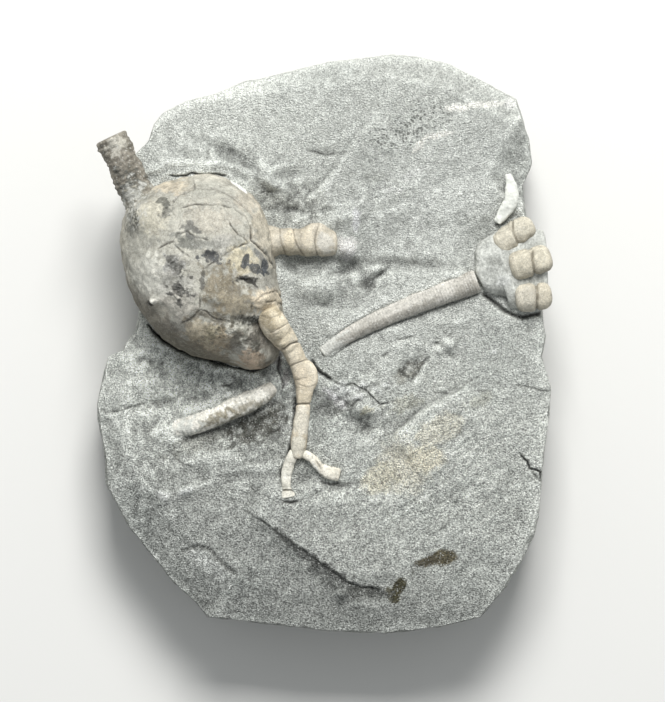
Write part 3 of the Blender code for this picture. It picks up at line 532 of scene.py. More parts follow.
RIGHT_BRANCH = [(-5, -23, 24.9, 0.9, 1), (-2.7, -24.4, 24.9, 1.05, 1), (-1, -26.2, 24.6, 1, 1),
                (1, -27.4, 24.3, 1.45, 1.25), (3.3, -28, 24, 1.4, 1.15)]
COLUMN = [(32.8, 13.6, 24.9, 2.6, 2.5), (24, 10.4, 24.6, 2.3, 2.2), (16.4, 7.5, 24.2, 2.2, 2.05),
          (10.9, 5.1, 24, 2.05, 1.9), (5.5, 2.5, 23.8, 1.9, 1.75), (-0.4, -1.8, 23.2, 1.6, 1.5)]
FAR_PIECE = [(-10.2, -8.8, 22.2, 2, 2), (-14.7, -11.4, 22.6, 2.35, 2.35),
             (-23.1, -15.2, 22, 2.25, 2.25), (-29.4, -17.5, 21.2, 2.3, 2.2),
             (-32.6, -18.6, 20.1, 2.1, 1.9)]
SMALL_CUP = [(33.2, 13.6, 24.6, 2.5, 2.4), (34.5, 14.3, 24.6, 4.4, 3),
             (36.6, 15.6, 24.4, 7.2, 3.7), (39.2, 16.2, 24.2, 8.6, 4),
             (42.4, 16.6, 24, 8.4, 3.6), (47.6, 16.8, 23.6, 7.6, 3.2)]
UPPER_SMALL_ARM = [(37, 20.4, 25.6, 2.6, 2.5), (40.4, 23.4, 25.8, 2.9, 2.6),
                   (44.6, 25.8, 25, 2.3, 2)]
MIDDLE_SMALL_ARM = [(39.7, 16.4, 27, 3, 2.7), (44.4, 17.6, 27.2, 3.1, 2.8),
                    (48.3, 18.8, 26.4, 2.8, 2.4)]
LOWER_SMALL_ARM = [(40.9, 9.9, 26, 3, 2.8), (45.2, 10.2, 26.2, 3.1, 2.8),
                   (48.4, 10.6, 25.4, 2.8, 2.4)]
SHELL = [(39.2, 36.4, 27.2, 0.6, 0.6), (40, 33.5, 27.1, 1.3, 0.9), (39.8, 30.6, 26.7, 1.5, 1),
         (38.3, 27.9, 26.3, 1.35, 0.9), (36.9, 26, 26, 0.8, 0.6)]

# Seams of the large cup's plates: points, half width, depth
CUP_SEAMS = [
    ([(-30.2, 28.5), (-28.7, 28.9), (-25.3, 29.2), (-21.9, 29.2), (-19.5, 28.5), (-17.2, 26.6),
      (-16.1, 24.3), (-15.9, 21.6), (-13.8, 19.7), (-11.9, 17.8), (-10.6, 15.9)], 0.2, 0.28),
    ([(-16.5, 21.2), (-18.8, 20.5), (-21.1, 18.9), (-23.3, 17.4), (-25.6, 15.9), (-25.6, 13.6),
      (-26.2, 10.5), (-26.4, 7.5)], 0.2, 0.24),
    ([(-16.5, 21.2), (-18, 22.7), (-19.5, 24.3), (-20.5, 25.8)], 0.15, 0.2),
    ([(-35.2, 20.1), (-33.3, 21.2), (-31.7, 21.6), (-31, 23.2), (-29.1, 23.7), (-27.2, 22.6),
      (-24.5, 21.8)], 0.2, 0.22),
    ([(-31.7, 21.2), (-30.2, 19.7), (-28.3, 18.2)], 0.16, 0.2),
    ([(-30.2, 4.4), (-28.3, 5.6), (-26, 7.5), (-23.3, 5.6), (-21.1, 4.8), (-19.5, 4.4)], 0.17, 0.14),
    ([(-15.4, 9.3), (-14.9, 10.4), (-13.7, 11.2), (-10.8, 11.5), (-9.4, 10.1), (-8.1, 7.8)],
     0.18, 0.16),
    ([(-13.7, 9.5), (-11.2, 9.5), (-8.6, 8.1)], 0.18, 0.25),
    ([(-15.7, 8.9), (-15.7, 7.2)], 0.2, 0.3),
    ([(-27.9, 35.8), (-27.5, 32.7)], 0.15, 0.15),
    ([(-32.1, 30), (-30.2, 31.9), (-27.2, 33.1), (-23.3, 32.7), (-20.3, 31.5), (-17.6, 29.6),
      (-16.5, 28.1)], 0.22, 0.08),
]

# Colour on the large cup: its stains and dark patches, with painted shade in the valleys between
# its plates, on its lower left and along its lower rim, and a fresh white chip at its upper edge
# painted bright as its glint: middle, half lengths, turn, colour, strength, raggedness
CUP_STAINS_AND_PAINTED_LIGHT = [
    ((-24.4, 25.6), (5.4, 3.8), -15, "#aaa598", 0.8, 0.6),
    ((-36, 26.6), (4, 4), 30, "#b9b4a3", 0.75, 0.5),
    ((-36.4, 13.6), (4.8, 6.8), 10, "#d0cec3", 0.85, 0.6),
    ((-31, 8.6), (4.6, 4), 0, "#beb9ae", 0.75, 0.7),
    ((-36, 6.4), (3.4, 3), -40, "#a9a496", 0.6, 0.6),
    ((-32, 33.4), (4.4, 1.8), 5, "#bbb09b", 0.75, 0.5),
    ((-26, 33), (4, 2), -5, "#96958b", 0.7, 0.6),
    ((-22.2, 21.2), (2.6, 2.2), 0, "#bab8b0", 0.5, 0.7),
    ((-17.8, 17.8), (3.4, 3), -40, "#c6bda3", 0.85, 0.5),
    ((-21.6, 12), (4.8, 5), 0, "#736a57", 0.85, 0.7),
    ((-18, 8), (4.4, 3), 0, "#857c69", 0.8, 0.6),
    ((-20.4, 9.6), (2.6, 1.8), -20, "#a29985", 0.5, 0.8),
    ((-23.4, 13.6), (1.4, 1.6), 0, "#a09784", 0.5, 0.8),
    # painted shade on the cup's lower left
    ((-33.6, 2.6), (6, 2.8), -42, "#79746a", 0.75, 0.6),
    ((-38.4, 8.4), (3, 3.4), -40, "#8b867b", 0.6, 0.6),
    ((-24.6, 1.6), (5.4, 3.6), -28, "#9c907a", 0.8, 0.5),
    ((-26.4, 4), (3.4, 1.9), -20, "#b3a994", 0.75, 0.5),
    ((-23, 3), (2.6, 1.5), -20, "#857f69", 0.6, 1.3),
    ((-21.4, 1), (2, 2.6), -30, "#aa9a83", 0.5, 0.7),
    ((-22.8, -2.6), (4.4, 1.3), -30, "#847968", 0.7, 0.7),
    ((-15.4, -3.2), (3, 2.2), -25, "#9d8b77", 0.85, 0.6),
    ((-16.4, -2.2), (1.8, 0.9), -30, "#b9a793", 0.7, 0.6),
    ((-12.6, 23.5), (3.4, 7), 12, "#b9b19f", 0.8, 0.5),
    ((-16, 30.5), (3.2, 3), -45, "#bdb5a5", 0.6, 0.5),
    ((-12.5, 9.6), (3.4, 2.6), 0, "#c9bca5", 0.85, 0.3),
    ((-40.4, 28), (1.2, 3.2), 12, "#505149", 0.9, 1.3),
    ((-41.2, 24.6), (1.3, 1.6), 0, "#66665f", 0.8, 1.2),
    ((-40, 31), (3, 2.6), 40, "#77776f", 0.8, 0.9),
    ((-40.6, 29.6), (2.4, 3), 0, "#c9c8c0", 0.6, 1.9),
    ((-39.6, 20), (2, 4), 0, "#a9a79c", 0.5, 0.6),
    ((-31, 12.6), (4.4, 2.6), -10, "#b4b2aa", 0.6, 0.7),
    ((-27.4, 21.6), (5.6, 1.6), -6, "#83837c", 0.8, 0.9),
    ((-31.6, 17), (2.5, 2.1), -35, "#8b8a86", 0.8, 0.5),
    ((-31, 16.3), (2.1, 0.8), -40, "#55544f", 0.85, 1.2),
    ((-32.4, 18.4), (1.6, 0.6), 30, "#63625d", 0.8, 1.2),
    ((-33.6, 29.6), (1.3, 1.1), 20, "#5c5c55", 0.85, 1.3),
    ((-33, 27.6), (1.2, 0.9), 20, "#6c6c65", 0.8, 1.2),
    ((-28.3, 24.1), (1.4, 1.6), 30, "#5f5f5b", 0.8, 0.9),
    ((-29.6, 21.4), (1.8, 1), -30, "#77776f", 0.75, 0.7),
    ((-24.1, 18.6), (2.4, 1.2), -14, "#474849", 0.95, 0.8),
    ((-16.9, 17.5), (0.8, 1.5), -8, "#4d5051", 0.95, 0.3),
    ((-13.1, 16.5), (0.65, 1.6), 4, "#44474a", 0.95, 0.3),
    ((-14.5, 15.9), (2.8, 0.85), -20, "#4a4d4f", 0.95, 0.5),
    ((-14.6, 19), (1.6, 0.5), -48, "#6a6c6c", 0.7, 0.5),
    ((-17.7, 13.9), (1.7, 0.55), 28, "#3b3a37", 0.95, 0.9),
    ((-16, 13.5), (1.6, 0.8), -30, "#3b3a37", 0.95, 1.1),
    ((-30.4, 11.3), (1.8, 1.6), -30, "#4d4c48", 0.85, 1.7),
    ((-25.8, 13.2), (0.6, 1.7), -8, "#5b5a55", 0.8, 0.6),
    ((-36.9, 8.7), (0.75, 0.75), 0, "#3f3c38", 0.95, 0.3),
    ((-35.8, 9.5), (0.8, 0.6), 0, "#dad7cc", 0.8, 0.2),
    ((-16.6, 4.9), (3.4, 1.2), -6, "#5b5b52", 0.8, 1.1),
    ((-13.9, 5.3), (1.3, 1.1), 0, "#4a4b47", 0.9, 0.7),
    ((-17.6, 2), (1.9, 1.6), 0, "#6e6d63", 0.75, 0.9),
    ((-13.8, 1.6), (3, 2.4), 0, "#676259", 0.8, 0.6),
    # painted shade in the valleys between the plates
    ((-23.4, 5.9), (4.4, 0.9), -22, "#625d51", 0.75, 0.7),
    ((-28.4, 5.4), (2.6, 0.8), 38, "#6b665b", 0.6, 0.7),
    ((-12.8, -4.2), (1.3, 2), 20, "#6b6559", 0.75, 0.6),
    # painted shade in the valley between the tan plate and the chin
    ((-19, 0.4), (1.2, 2.4), -30, "#716a5e", 0.6, 0.7),
    ((-14.3, -0.3), (1.2, 0.8), -20, "#57564e", 0.8, 0.8),
    ((-11.4, 0.4), (1.9, 2.8), 20, "#827c72", 0.7, 0.5),
    # painted shade along the lower rim
    ((-22, -4), (12, 1.3), -31, "#6a6355", 0.7, 0.5),
    ((-36.5, 2.6), (4, 1.6), -45, "#6d685e", 0.7, 0.5),
    # a fresh white chip painted bright as its glint
    ((-18.2, 33.9), (2.4, 0.45), -38, "#ecece6", 0.95, 0.2),
]

# Grit still stuck to the large cup: middle, half lengths, turn, strength
CUP_GRIT = [
    ((-15.6, 4.9), (3.8, 1.1), -4, 1.0),
    ((-21.4, 3), (3.2, 1.7), -20, 0.8),
    ((-15.4, 1), (2.6, 2.6), 0, 0.7),
    ((-40.2, 28), (1.4, 3.6), 12, 0.9),
    ((-33.4, 28.6), (1.5, 2), 20, 0.9),
    ((-30.4, 11.2), (1.7, 1.5), 0, 0.8),
    ((-31.4, 16.8), (2, 1.5), -35, 0.7),
    ((-16.8, 13.4), (2.4, 0.9), -12, 0.8),
    ((-24.4, 1), (3, 1.2), -30, 0.5),
]

# Joints and marks of the round pieces, laid out as the large cup's seams and colours are
SHORT_ARM_SEAMS = [
    ([(-9.5, 25.6), (-9.4, 23.4), (-9.1, 21.2), (-8.3, 19.2), (-7.7, 18)], 0.17, 0.16),
    ([(-6.8, 25.6), (-6.4, 23.8), (-6, 21.6), (-5.1, 19.8), (-3.9, 18.4)], 0.17, 0.22),
    ([(-1.0, 26), (-1.6, 24.2), (-2, 22.1), (-1.8, 20), (-1.2, 18.4)], 0.17, 0.22),
    ([(-12.6, 25.6), (-12.1, 23), (-12.3, 20)], 0.16, 0.1),
]
SHORT_ARM_STAINS_AND_SHADE = [
    ((-7.4, 22.6), (1.4, 2.2), 0, "#b9ae97", 0.6, 0.5),
    ((-3.6, 22.4), (1.3, 2.2), 0, "#bdb4a1", 0.6, 0.5),
    ((0.4, 21.6), (1.8, 2.2), 0, "#b9b6ad", 0.7, 0.5),
    # painted shade along the arm's lower side
    ((-7, 19.6), (5, 1.0), 0, "#99917f", 0.6, 0.4),
]
LONG_ARM_SEAMS = [
    ([(-9.4, -1.2), (-8.3, -1), (-7.1, 0), (-5.4, 0.6), (-4.4, 0.6)], 0.22, 0.4),
    ([(-8, -4.8), (-6.8, -4.5), (-5.4, -3.9), (-4, -3.4), (-2.6, -3)], 0.16, 0.16),
    ([(-6.6, -12.8), (-2.6, -12.7)], 0.2, 0.45),
    ([(-12, 2.2), (-10.8, 2.6), (-9, 3.6), (-7.4, 4.6), (-6.4, 4.8)], 0.16, 0.14),
    ([(-6, -8.4), (-3.6, -9.2), (-1.6, -8.6)], 0.14, 0.1),
    ([(-13.6, 6), (-11.4, 5.5), (-8.8, 6.4)], 0.14, 0.1),
]
LONG_ARM_STAINS_AND_SHADE = [
    ((-12, 7), (3, 3), 0, "#8f846e", 0.85, 0.4),
    ((-10.6, 5), (2, 2.6), 20, "#a49981", 0.8, 0.4),
    ((-9.7, 5), (0.8, 2.4), 30, "#c9bfa9", 0.6, 0.5),
    ((-8.6, 1.4), (1.6, 1.8), 10, "#cabfa6", 0.7, 0.4),
    ((-7, -2.2), (2, 1.5), 0, "#d3c9b4", 0.7, 0.4),
    ((-5, -7), (2.4, 2.2), 0, "#cdc1ab", 0.7, 0.4),
    ((-4.4, -11.4), (2, 1.1), 0, "#aea48f", 0.6, 0.5),
    ((-4.9, -16.6), (1.9, 3.4), 0, "#c9c4b6", 0.8, 0.4),
    ((-5.6, -22), (1.7, 2.4), 0, "#c6c2b4", 0.8, 0.4),
    # painted shade along the arm's left side
    ((-11.6, 3.6), (1, 4.4), 28, "#857c69", 0.7, 0.5),
    ((-8.2, -4), (0.8, 4.4), 14, "#8c8371", 0.6, 0.5),
    ((-6, -9.6), (0.7, 3), -4, "#968d7c", 0.5, 0.5),
    ((-3.4, -21.6), (0.5, 1.3), 0, "#4f4a3c", 0.8, 0.8),
    ((-6.9, -24.4), (0.5, 0.4), 0, "#5d574a", 0.8, 0.6),
]
LEFT_BRANCH_SEAMS = [([(-9.4, -31.3), (-5.8, -31.1)], 0.2, 0.3)]
LEFT_BRANCH_STAINS = [((-7.2, -31.2), (1.6, 0.3), 0, "#6d6c64", 0.7, 0.6)]
RIGHT_BRANCH_SEAMS = [([(-1.8, -24.6), (-0.6, -26.8)], 0.2, 0.3)]
RIGHT_BRANCH_STAINS = [((-1.8, -26.6), (0.4, 1.6), 32, "#e8e6dc", 0.8, 0.4)]
STEM_STAINS = [
    ((-40.4, 32), (4, 4), 40, "#77766c", 0.8, 0.8),
    ((-41.4, 34), (3, 2.8), 30, "#484843", 0.9, 1.5),
    ((-41, 31), (3, 3), 0, "#c9c8c0", 0.45, 1.9),
    ((-44.4, 42), (2, 2), 0, "#b3b0a5", 0.6, 0.6),
]
COLUMN_STAINS_AND_SHADE = [
    ((1, -1), (5, 2.4), 35, "#b3b4ae", 0.8, 0.5),
    ((30, 12.6), (3.6, 2.4), 0, "#8e8a81", 0.7, 0.6),
    ((22, 10.4), (12, 0.9), 21, "#a9a69e", 0.7, 0.7),
    # painted shade along the column's lower side
    ((14, 5.4), (12, 0.7), 23, "#8d8980", 0.6, 0.7),
]
FAR_PIECE_STAINS_AND_LIGHT = [
    # painted highlight along the far piece's lit upper side
    ((-20, -13), (12, 0.9), 26, "#dedbd0", 0.8, 0.8),
    ((-23.2, -15.9), (4.2, 1.1), 25, "#7a735f", 0.75, 1.5),
    ((-17, -13.2), (5, 1.2), 25, "#8d8674", 0.65, 1.5),
    ((-31.2, -18), (4, 2.6), 0, "#b4b5ae", 0.85, 1.1),
    # painted highlight
    ((-13, -10.4), (3, 1), 26, "#e2dfd6", 0.6, 0.7),
    # painted shade along its lower side
    ((-20, -16.6), (12, 0.7), 24, "#7b786c", 0.6, 0.8),
    ((-11.6, -9.2), (1.6, 1.6), 0, "#a39f94", 0.6, 0.6),
]
SMALL_CUP_STAINS = [
    ((36.2, 17.6), (1.6, 0.9), 0, "#84857f", 0.8, 0.5),
    ((38.4, 13.6), (1.5, 1.3), 0, "#bcbdb8", 0.7, 0.4),
    ((44, 13.4), (4, 0.8), 5, "#92938d", 0.7, 0.4),
    ((44.4, 21.4), (3, 1), 15, "#9c9d97", 0.6, 0.4),
]
SMALL_ARM_STAINS = [
    ((38.4, 22.9), (2.4, 3), 20, "#b0ab9c", 0.7, 0.5),
    ((42.2, 25.2), (3, 2.2), 20, "#ada899", 0.7, 0.5),
    ((42.4, 16.9), (2.6, 2.8), 0, "#b1ab9a", 0.7, 0.5),
    ((46.4, 18.6), (2.2, 2.8), 0, "#b6b09f", 0.7, 0.5),
    ((43.2, 9.6), (2.6, 3), 0, "#ada89b", 0.7, 0.5),
    ((47, 10.6), (1.6, 2.6), 0, "#b1aa99", 0.7, 0.5),
]
SMALL_ARM_SEAMS = [
    ([(40.2, 27), (40.3, 24), (41.6, 21)], 0.22, 0.3),
    ([(44.3, 20.4), (44.5, 17.6), (45, 14.4)], 0.26, 0.4),
    ([(45.2, 13.4), (45.5, 10.4), (45.4, 7)], 0.26, 0.4),
]


# ---- the lie of the stone -------------------------------------------------------------------

SHARP_SIDE = 2  # a crest that dies away over less than this breaks off with a sharp edge
SEED_STEPS = (17.3, 5.9, 11.1)  # how far each seed moves the roughness along X, Y and Z
FINER_HEIGHT, FINER_SIZE = 0.9, 2.1  # how fast the finer lumps of a roughness get lower and smaller


def rise(x, y, at, size, height, turn=0.0):
    """A smooth oval rise, or a hollow where height is negative."""
    c, s = math.cos(math.radians(turn)), math.sin(math.radians(turn))
    dx, dy = x - at[0], y - at[1]
    along_it, across_it = (dx * c + dy * s) / size[0], (dy * c - dx * s) / size[1]
    return height * np.exp(-(along_it**2) - across_it**2)


def nearest_on(x, y, line):
    """The distance of each place from a line, positive on the left of the line's run, and how
    many millimetres its nearest point is from the line's nearer end."""
    nearest = np.full(np.shape(x), np.inf)
    signed, run = np.zeros(np.shape(x)), np.zeros(np.shape(x))
    done = 0.0
    for (ax, ay), (bx, by) in zip(line, line[1:]):
        ux, uy = bx - ax, by - ay
        length = math.hypot(ux, uy)
        t = np.clip(((x - ax) * ux + (y - ay) * uy) / length**2, 0, 1)
        away = np.hypot(x - ax - t * ux, y - ay - t * uy)
        side = np.where(ux * (y - ay) - uy * (x - ax) >= 0, 1.0, -1.0)
        closer = away < nearest
        signed = np.where(closer, side * away, signed)
        run = np.where(closer, done + t * length, run)
        nearest = np.minimum(away, nearest)
        done += length
    return signed, np.minimum(run, done - run)


def eased(share):
    """0 to 1, flat at both ends."""
    share = np.clip(share, 0, 1)
    return share * share * (3 - 2 * share)


def crest(x, y, line, height, left, right, taper=5.0):
    """A crest along a line that dies away over `left` on its left and `right` on its right, and
    over the taper at its ends. Its narrow side breaks off with sharp edges."""
    signed, from_end = nearest_on(x, y, line)
    width = np.where(signed > 0, left, right)
    share = np.abs(signed) / width
    broken_off = (width == min(left, right)) & (width < SHARP_SIDE)
    fade = np.where(broken_off, np.clip(1 - share, 0, 1), np.exp(-(share**2)))
    return height * eased(from_end / taper) * fade


def groove(x, y, line, half_width, taper=1.2):
    """1 in the middle of a line, dying away over its half width and towards its ends."""
    signed, from_end = nearest_on(x, y, line)
    return eased(0.25 + from_end / taper) * np.exp(-((signed / half_width) ** 2))


def facet(z, x, y, at, towards, fall, reach):
    """The rock above a plane is cut away. The plane falls towards a bearing and ends at its reach."""
    bearing = math.radians(towards)
    out = (x - at[0]) * math.cos(bearing) + (y - at[1]) * math.sin(bearing)
    aside = np.abs((y - at[1]) * math.cos(bearing) - (x - at[0]) * math.sin(bearing))
    hold = np.clip((reach - aside) * 0.5, 0, 1)
    return z - hold * np.maximum(0, z - (at[2] - fall * out))


def rough(x, y, z, size, height, seed, octaves=4):
    """Broken roughness whose largest lumps are `size` across."""
    drift = Vector([seed * step for step in SEED_STEPS])
    return height * np.array([
        noise.fractal(Vector(p) / size + drift, FINER_HEIGHT, FINER_SIZE, octaves)
        for p in zip(x, y, z)
    ])


def drawn(x, y, turn, length, width, height, seed):
    """Roughness drawn out along a direction, as on a scraped or sheared face."""
    c, s = math.cos(math.radians(turn)), math.sin(math.radians(turn))
    return rough((x * c + y * s) / length, (y * c - x * s) / width, np.zeros(len(x)), 1, height,
                 seed, 3)


def sway(x, y, z, size, height, seed):
    """How far places drift along X and along Y, so that lines and edges on them run unevenly."""
    return [rough(x, y, z, size, height, seed + k, 3) for k in (0, 1)]


def relief(x, y):
    """Height of the split face over the underside."""
    z = FACE_LEVEL + FACE_TILT * y
    for at, size, height, turn in RISES:
        z = z + rise(x, y, at, size, height, turn)
    for line, height, left, right in CRESTS:
        z = z + crest(x, y, line, height, left, right)
    for at, towards, fall, reach in FACETS:
        z = facet(z, x, y, at, towards, fall, reach)
    return z


def beyond_cup(x, y):
    """How far outside the large cup's outline each place is, and the bearing it lies on."""
    bearing = np.degrees(np.arctan2(y - CUP_AT.y, x - CUP_AT.x))
    return np.hypot(x - CUP_AT.x, y - CUP_AT.y) - cup_reach(bearing), bearing


def shoulder(x, y):
    """The stone left standing against the large cup."""
    out, bearing = beyond_cup(x, y)
    height = np.interp(bearing, SHOULDER_BEARINGS, SHOULDER_HEIGHTS)
    return height * np.exp(-((np.maximum(out, 0) / SHOULDER_REACH) ** 2))


def brokenness(x, y):
    """How rough the ground is, from 0 on a smooth split to about 1 on broken ground."""
    total = np.zeros(len(x))
    for at, size, turn, strength in BROKEN:
        total = np.maximum(total, rise(x, y, at, size, strength, turn))
    return total


def strewn(x, y, fields):
    """How thickly dark grains lie in their fields, from 0 to 1."""
    spots = np.zeros(len(x))
    for at, size, turn, strength in fields:
        spots = np.maximum(spots, strength * eased(1.6 * rise(x, y, at, size, 1, turn)))
    return spots


# ---- outline and paths ----------------------------------------------------------------------


def normed(rows):
    """Each row as a direction of length 1."""
    return rows / np.linalg.norm(rows, axis=1)[:, None]


def steps_between(points):
    """The distance from each point to the next."""
    return np.linalg.norm(np.diff(np.array(points, float), axis=0), axis=1)


def path_length(path):
    return float(np.sum(steps_between(np.array(path, float)[:, :3])))


def lengths(points):
    """How far along its line each point lies, from 0 to 1."""
    run = np.concatenate([[0], np.cumsum(steps_between(points))])
    return run / run[-1]


def along(edge, share):
    """The point a share of the way along an edge of the outline."""
    points, run = np.array(edge, float), lengths(edge)
    return np.stack([np.interp(share, run, points[:, k]) for k in (0, 1)], axis=-1)


def in_outline(u, v):
    """The plan position of a point of the unit square, drawn out to the slab's outline."""
    ends = BOTTOM_EDGE[0], BOTTOM_EDGE[-1], TOP_EDGE[0], TOP_EDGE[-1]
    corners = [np.array(end, float) for end in ends]
    bottom, top = along(BOTTOM_EDGE, u), along(TOP_EDGE, u)
    left, right = along(LEFT_EDGE, v), along(RIGHT_EDGE, v)
    u, v = u[:, None], v[:, None]
    middle = (1 - u) * (1 - v) * corners[0] + u * (1 - v) * corners[1]
    middle = middle + (1 - u) * v * corners[2] + u * v * corners[3]
    return (1 - v) * bottom + v * top + (1 - u) * left + u * right - middle


def stations(path, shares):
    """The path read as a smooth curve at each share of its length."""
    points = np.array(path, float)
    knots = lengths(points[:, :3])
    slopes = np.gradient(points, knots, axis=0)
    found = []
    for share in shares:
        k = int(np.clip(np.searchsorted(knots, share) - 1, 0, len(knots) - 2))
        span = knots[k + 1] - knots[k]
        t = (share - knots[k]) / span
        found.append(
            (2 * t**3 - 3 * t**2 + 1) * points[k] + (t**3 - 2 * t**2 + t) * span * slopes[k]
            + (3 * t**2 - 2 * t**3) * points[k + 1] + (t**3 - t**2) * span * slopes[k + 1]
        )
    return np.array(found)


# ---- colour ---------------------------------------------------------------------------------


def linear(colour):
    """An sRGB hex value as linear red, green and blue."""
    parts = [int(colour[i:i + 2], 16) / 255 for i in (1, 3, 5)]
    return np.array([c / 12.92 if c <= 0.04045 else ((c + 0.055) / 1.055) ** 2.4 for c in parts])


def tinted(paint, mask, colour):
    """The paint with a colour laid over it where the mask is 1."""
    return paint + np.clip(mask, 0, 1)[:, None] * (linear(colour) - paint)


def clouded(cloud, base, above, below):
    """A ground colour with a cloud of another colour above 0 and of a third below it, each given
    as its strength and its colour."""
    paint = np.tile(linear(base), (len(cloud), 1))
    for side, (strength, colour) in ((cloud, above), (-cloud, below)):
        paint = tinted(paint, strength * np.clip(side, 0, 1), colour)
    return paint


def patched(paint, x, y, z, stains, seed):
    """The paint with each patch of colour, painted shade or painted light laid on, its edge broken up
    as much as its raggedness says. Large and ragged patches fade out over a wider edge."""
    ragged_edge = rough(x, y, z, 1.3, 1.1, seed, 4)
    for at, size, turn, colour, strength, raggedness in stains:
        inside = np.sqrt(-np.log(np.maximum(rise(x, y, at, size, 1, turn), 1e-9)))
        edge = 1.1 - inside + raggedness * ragged_edge
        blend = 0.1 + 0.2 * raggedness + 0.09 * max(0, min(size) - 1)
        paint = tinted(paint, strength * np.clip(edge / blend, 0, 1), colour)
    return paint


# ---- meshes ---------------------------------------------------------------------------------

# Painted shade in hollows and painted light on crests: rounds of easing for each width of
# neighbourhood, and the change in tone for each millimetre that a point stands over its
# neighbourhood
CAVITY_LIGHT_STEPS = ((3, 3.3), (10, 1.4), (40, 0.4))
KEPT_IN_EASING = 0.4  # how much of its own place a point keeps in each round
DARKEST, BRIGHTEST = -1.0, 0.3  # limits of the change in tone
MERGE_DISTANCE = 0.004
ELSEWHERE = 1e3  # a plan position that is near no line


def to_mesh(name, bm):
    """The bmesh as a mesh, with the bmesh freed."""
    mesh = bpy.data.meshes.new(name)
    bm.to_mesh(mesh)
    bm.free()
    return mesh


def read_rows(collection, field, width, kind=float):
    """A field of every point or edge of a mesh, one row for each."""
    flat = np.empty(len(collection) * width, kind)
    collection.foreach_get(field, flat)
    return flat.reshape(-1, width)


def places_of(mesh):
    return read_rows(mesh.vertices, "co", 3)


def painted_cavity_light(mesh, strength):
    """Paints shade into the wash in its hollows and light on its crests."""
    count = len(mesh.vertices)
    one, other = read_rows(mesh.edges, "vertices", 2, int).T
    linked = np.bincount(one, minlength=count) + np.bincount(other, minlength=count)
    way = read_rows(mesh.vertices, "normal", 3)
    smoother = places_of(mesh) / MM
    tone = np.zeros(count)
    for rounds, change in CAVITY_LIGHT_STEPS:
        finer = smoother
        for _ in range(rounds):
            around = np.stack([np.bincount(one, smoother[other, k], count)
                               + np.bincount(other, smoother[one, k], count)
                               for k in range(3)], axis=1)
            smoother = KEPT_IN_EASING * smoother + (
                (1 - KEPT_IN_EASING) * around / linked[:, None])
        tone = tone + change * np.sum((finer - smoother) * way, axis=1)
    if "torn" in mesh.attributes:
        torn = read_rows(mesh.attributes["torn"].data, "value", 1)[:, 0]
        strength = strength * (0.55 + 0.5 * torn)
    shade = np.exp(np.clip(tone * strength, DARKEST, BRIGHTEST))
    wash = read_rows(mesh.attributes["wash"].data, "color", 4)
    shaded = wash[:, :3] * shade[:, None]
    wash[:, :3] = shaded / np.maximum(1, shaded.max(axis=1))[:, None]
    mesh.attributes["wash"].data.foreach_set("color", wash.ravel())


def finished(name, mesh, places, paint, material, sharp_angle, nodes, spots=None, coarse=None,
             torn=None, cavity_light=1.0):
    """The piece at its places in millimetres, painted, smooth-shaded and riding on the root.

    spots, from 0 to 1, says where the stone carries dark grains, coarse how strongly its grain
    shows, and torn where it broke rough.
    """
    inside = np.clip(places, LOW, HIGH)
    mesh.vertices.foreach_set("co", (inside * MM).ravel())
    wash = mesh.attributes.new("wash", "FLOAT_COLOR", "POINT")
    spots = np.zeros(len(paint)) if spots is None else spots
    layers = np.concatenate([np.clip(paint, 0, 1), spots[:, None]], axis=1)
    wash.data.foreach_set("color", layers.ravel())
    for layer, values in (("coarse", coarse), ("torn", torn)):
        if values is not None:
            mesh.attributes.new(layer, "FLOAT", "POINT").data.foreach_set("value", values)
    bm = bmesh.new()
    bm.from_mesh(mesh)
    bmesh.ops.remove_doubles(bm, verts=bm.verts, dist=MERGE_DISTANCE * MM)
    bmesh.ops.recalc_face_normals(bm, faces=bm.faces)
    bm.to_mesh(mesh)
    bm.free()
    # painted shade in the hollows and painted light on the crests
    painted_cavity_light(mesh, cavity_light)
    mesh.shade_smooth()
    mesh.set_sharp_from_angle(angle=math.radians(sharp_angle))
    mesh.materials.append(material)
    piece = bpy.data.objects.new(name, mesh)
    bpy.context.scene.collection.objects.link(piece)
    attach(piece, "root")
    for node_name in nodes:
        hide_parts(node_name)
    return piece


# ---- slab -----------------------------------------------------------------------------------


def near_lines(bm, plan, lines, reach):
    """The edges of a mesh that lie within reach of any of the lines, seen from above."""
    x, y = plan.T
    close = np.zeros(len(x), bool)
    for line, *_ in lines:
        close |= np.abs(nearest_on(x, y, line)[0]) < reach
    bm.verts.ensure_lookup_table()
    return [e for e in bm.edges if close[e.verts[0].index] and close[e.verts[1].index]]


def slab_mesh():
    """A unit block: a fine grid for the split face, rings of wall below it, a closed underside."""
    bm = bmesh.new()
    across, along_y = FACE_CELLS
    bmesh.ops.create_grid(bm, x_segments=across, y_segments=along_y, size=0.5,
                          matrix=Matrix.Translation((0.5, 0.5, 1)))
    rim = [e for e in bm.edges if e.is_boundary]
    for ring in range(WALL_RINGS):
        made = bmesh.ops.extrude_edge_only(bm, edges=rim)["geom"]
        rim = [e for e in made if isinstance(e, bmesh.types.BMEdge) and e.is_boundary]
        drop = 1 - (ring + 1) / WALL_RINGS
        for vert in {v for e in rim for v in e.verts}:
            vert.co.z = drop
    bmesh.ops.edgeloop_fill(bm, edges=rim)
    unit = np.array([v.co for v in bm.verts])
    plan = in_outline(*np.clip(unit[:, :2], 0, 1).T)
    plan[unit[:, 2] < 0.99] = ELSEWHERE
    edges = near_lines(bm, plan, GROOVES, FINE_REACH)
    bmesh.ops.subdivide_edges(bm, edges=edges, cuts=1, use_grid_fill=True)
    return to_mesh("siltstone_slab_dressed", bm)


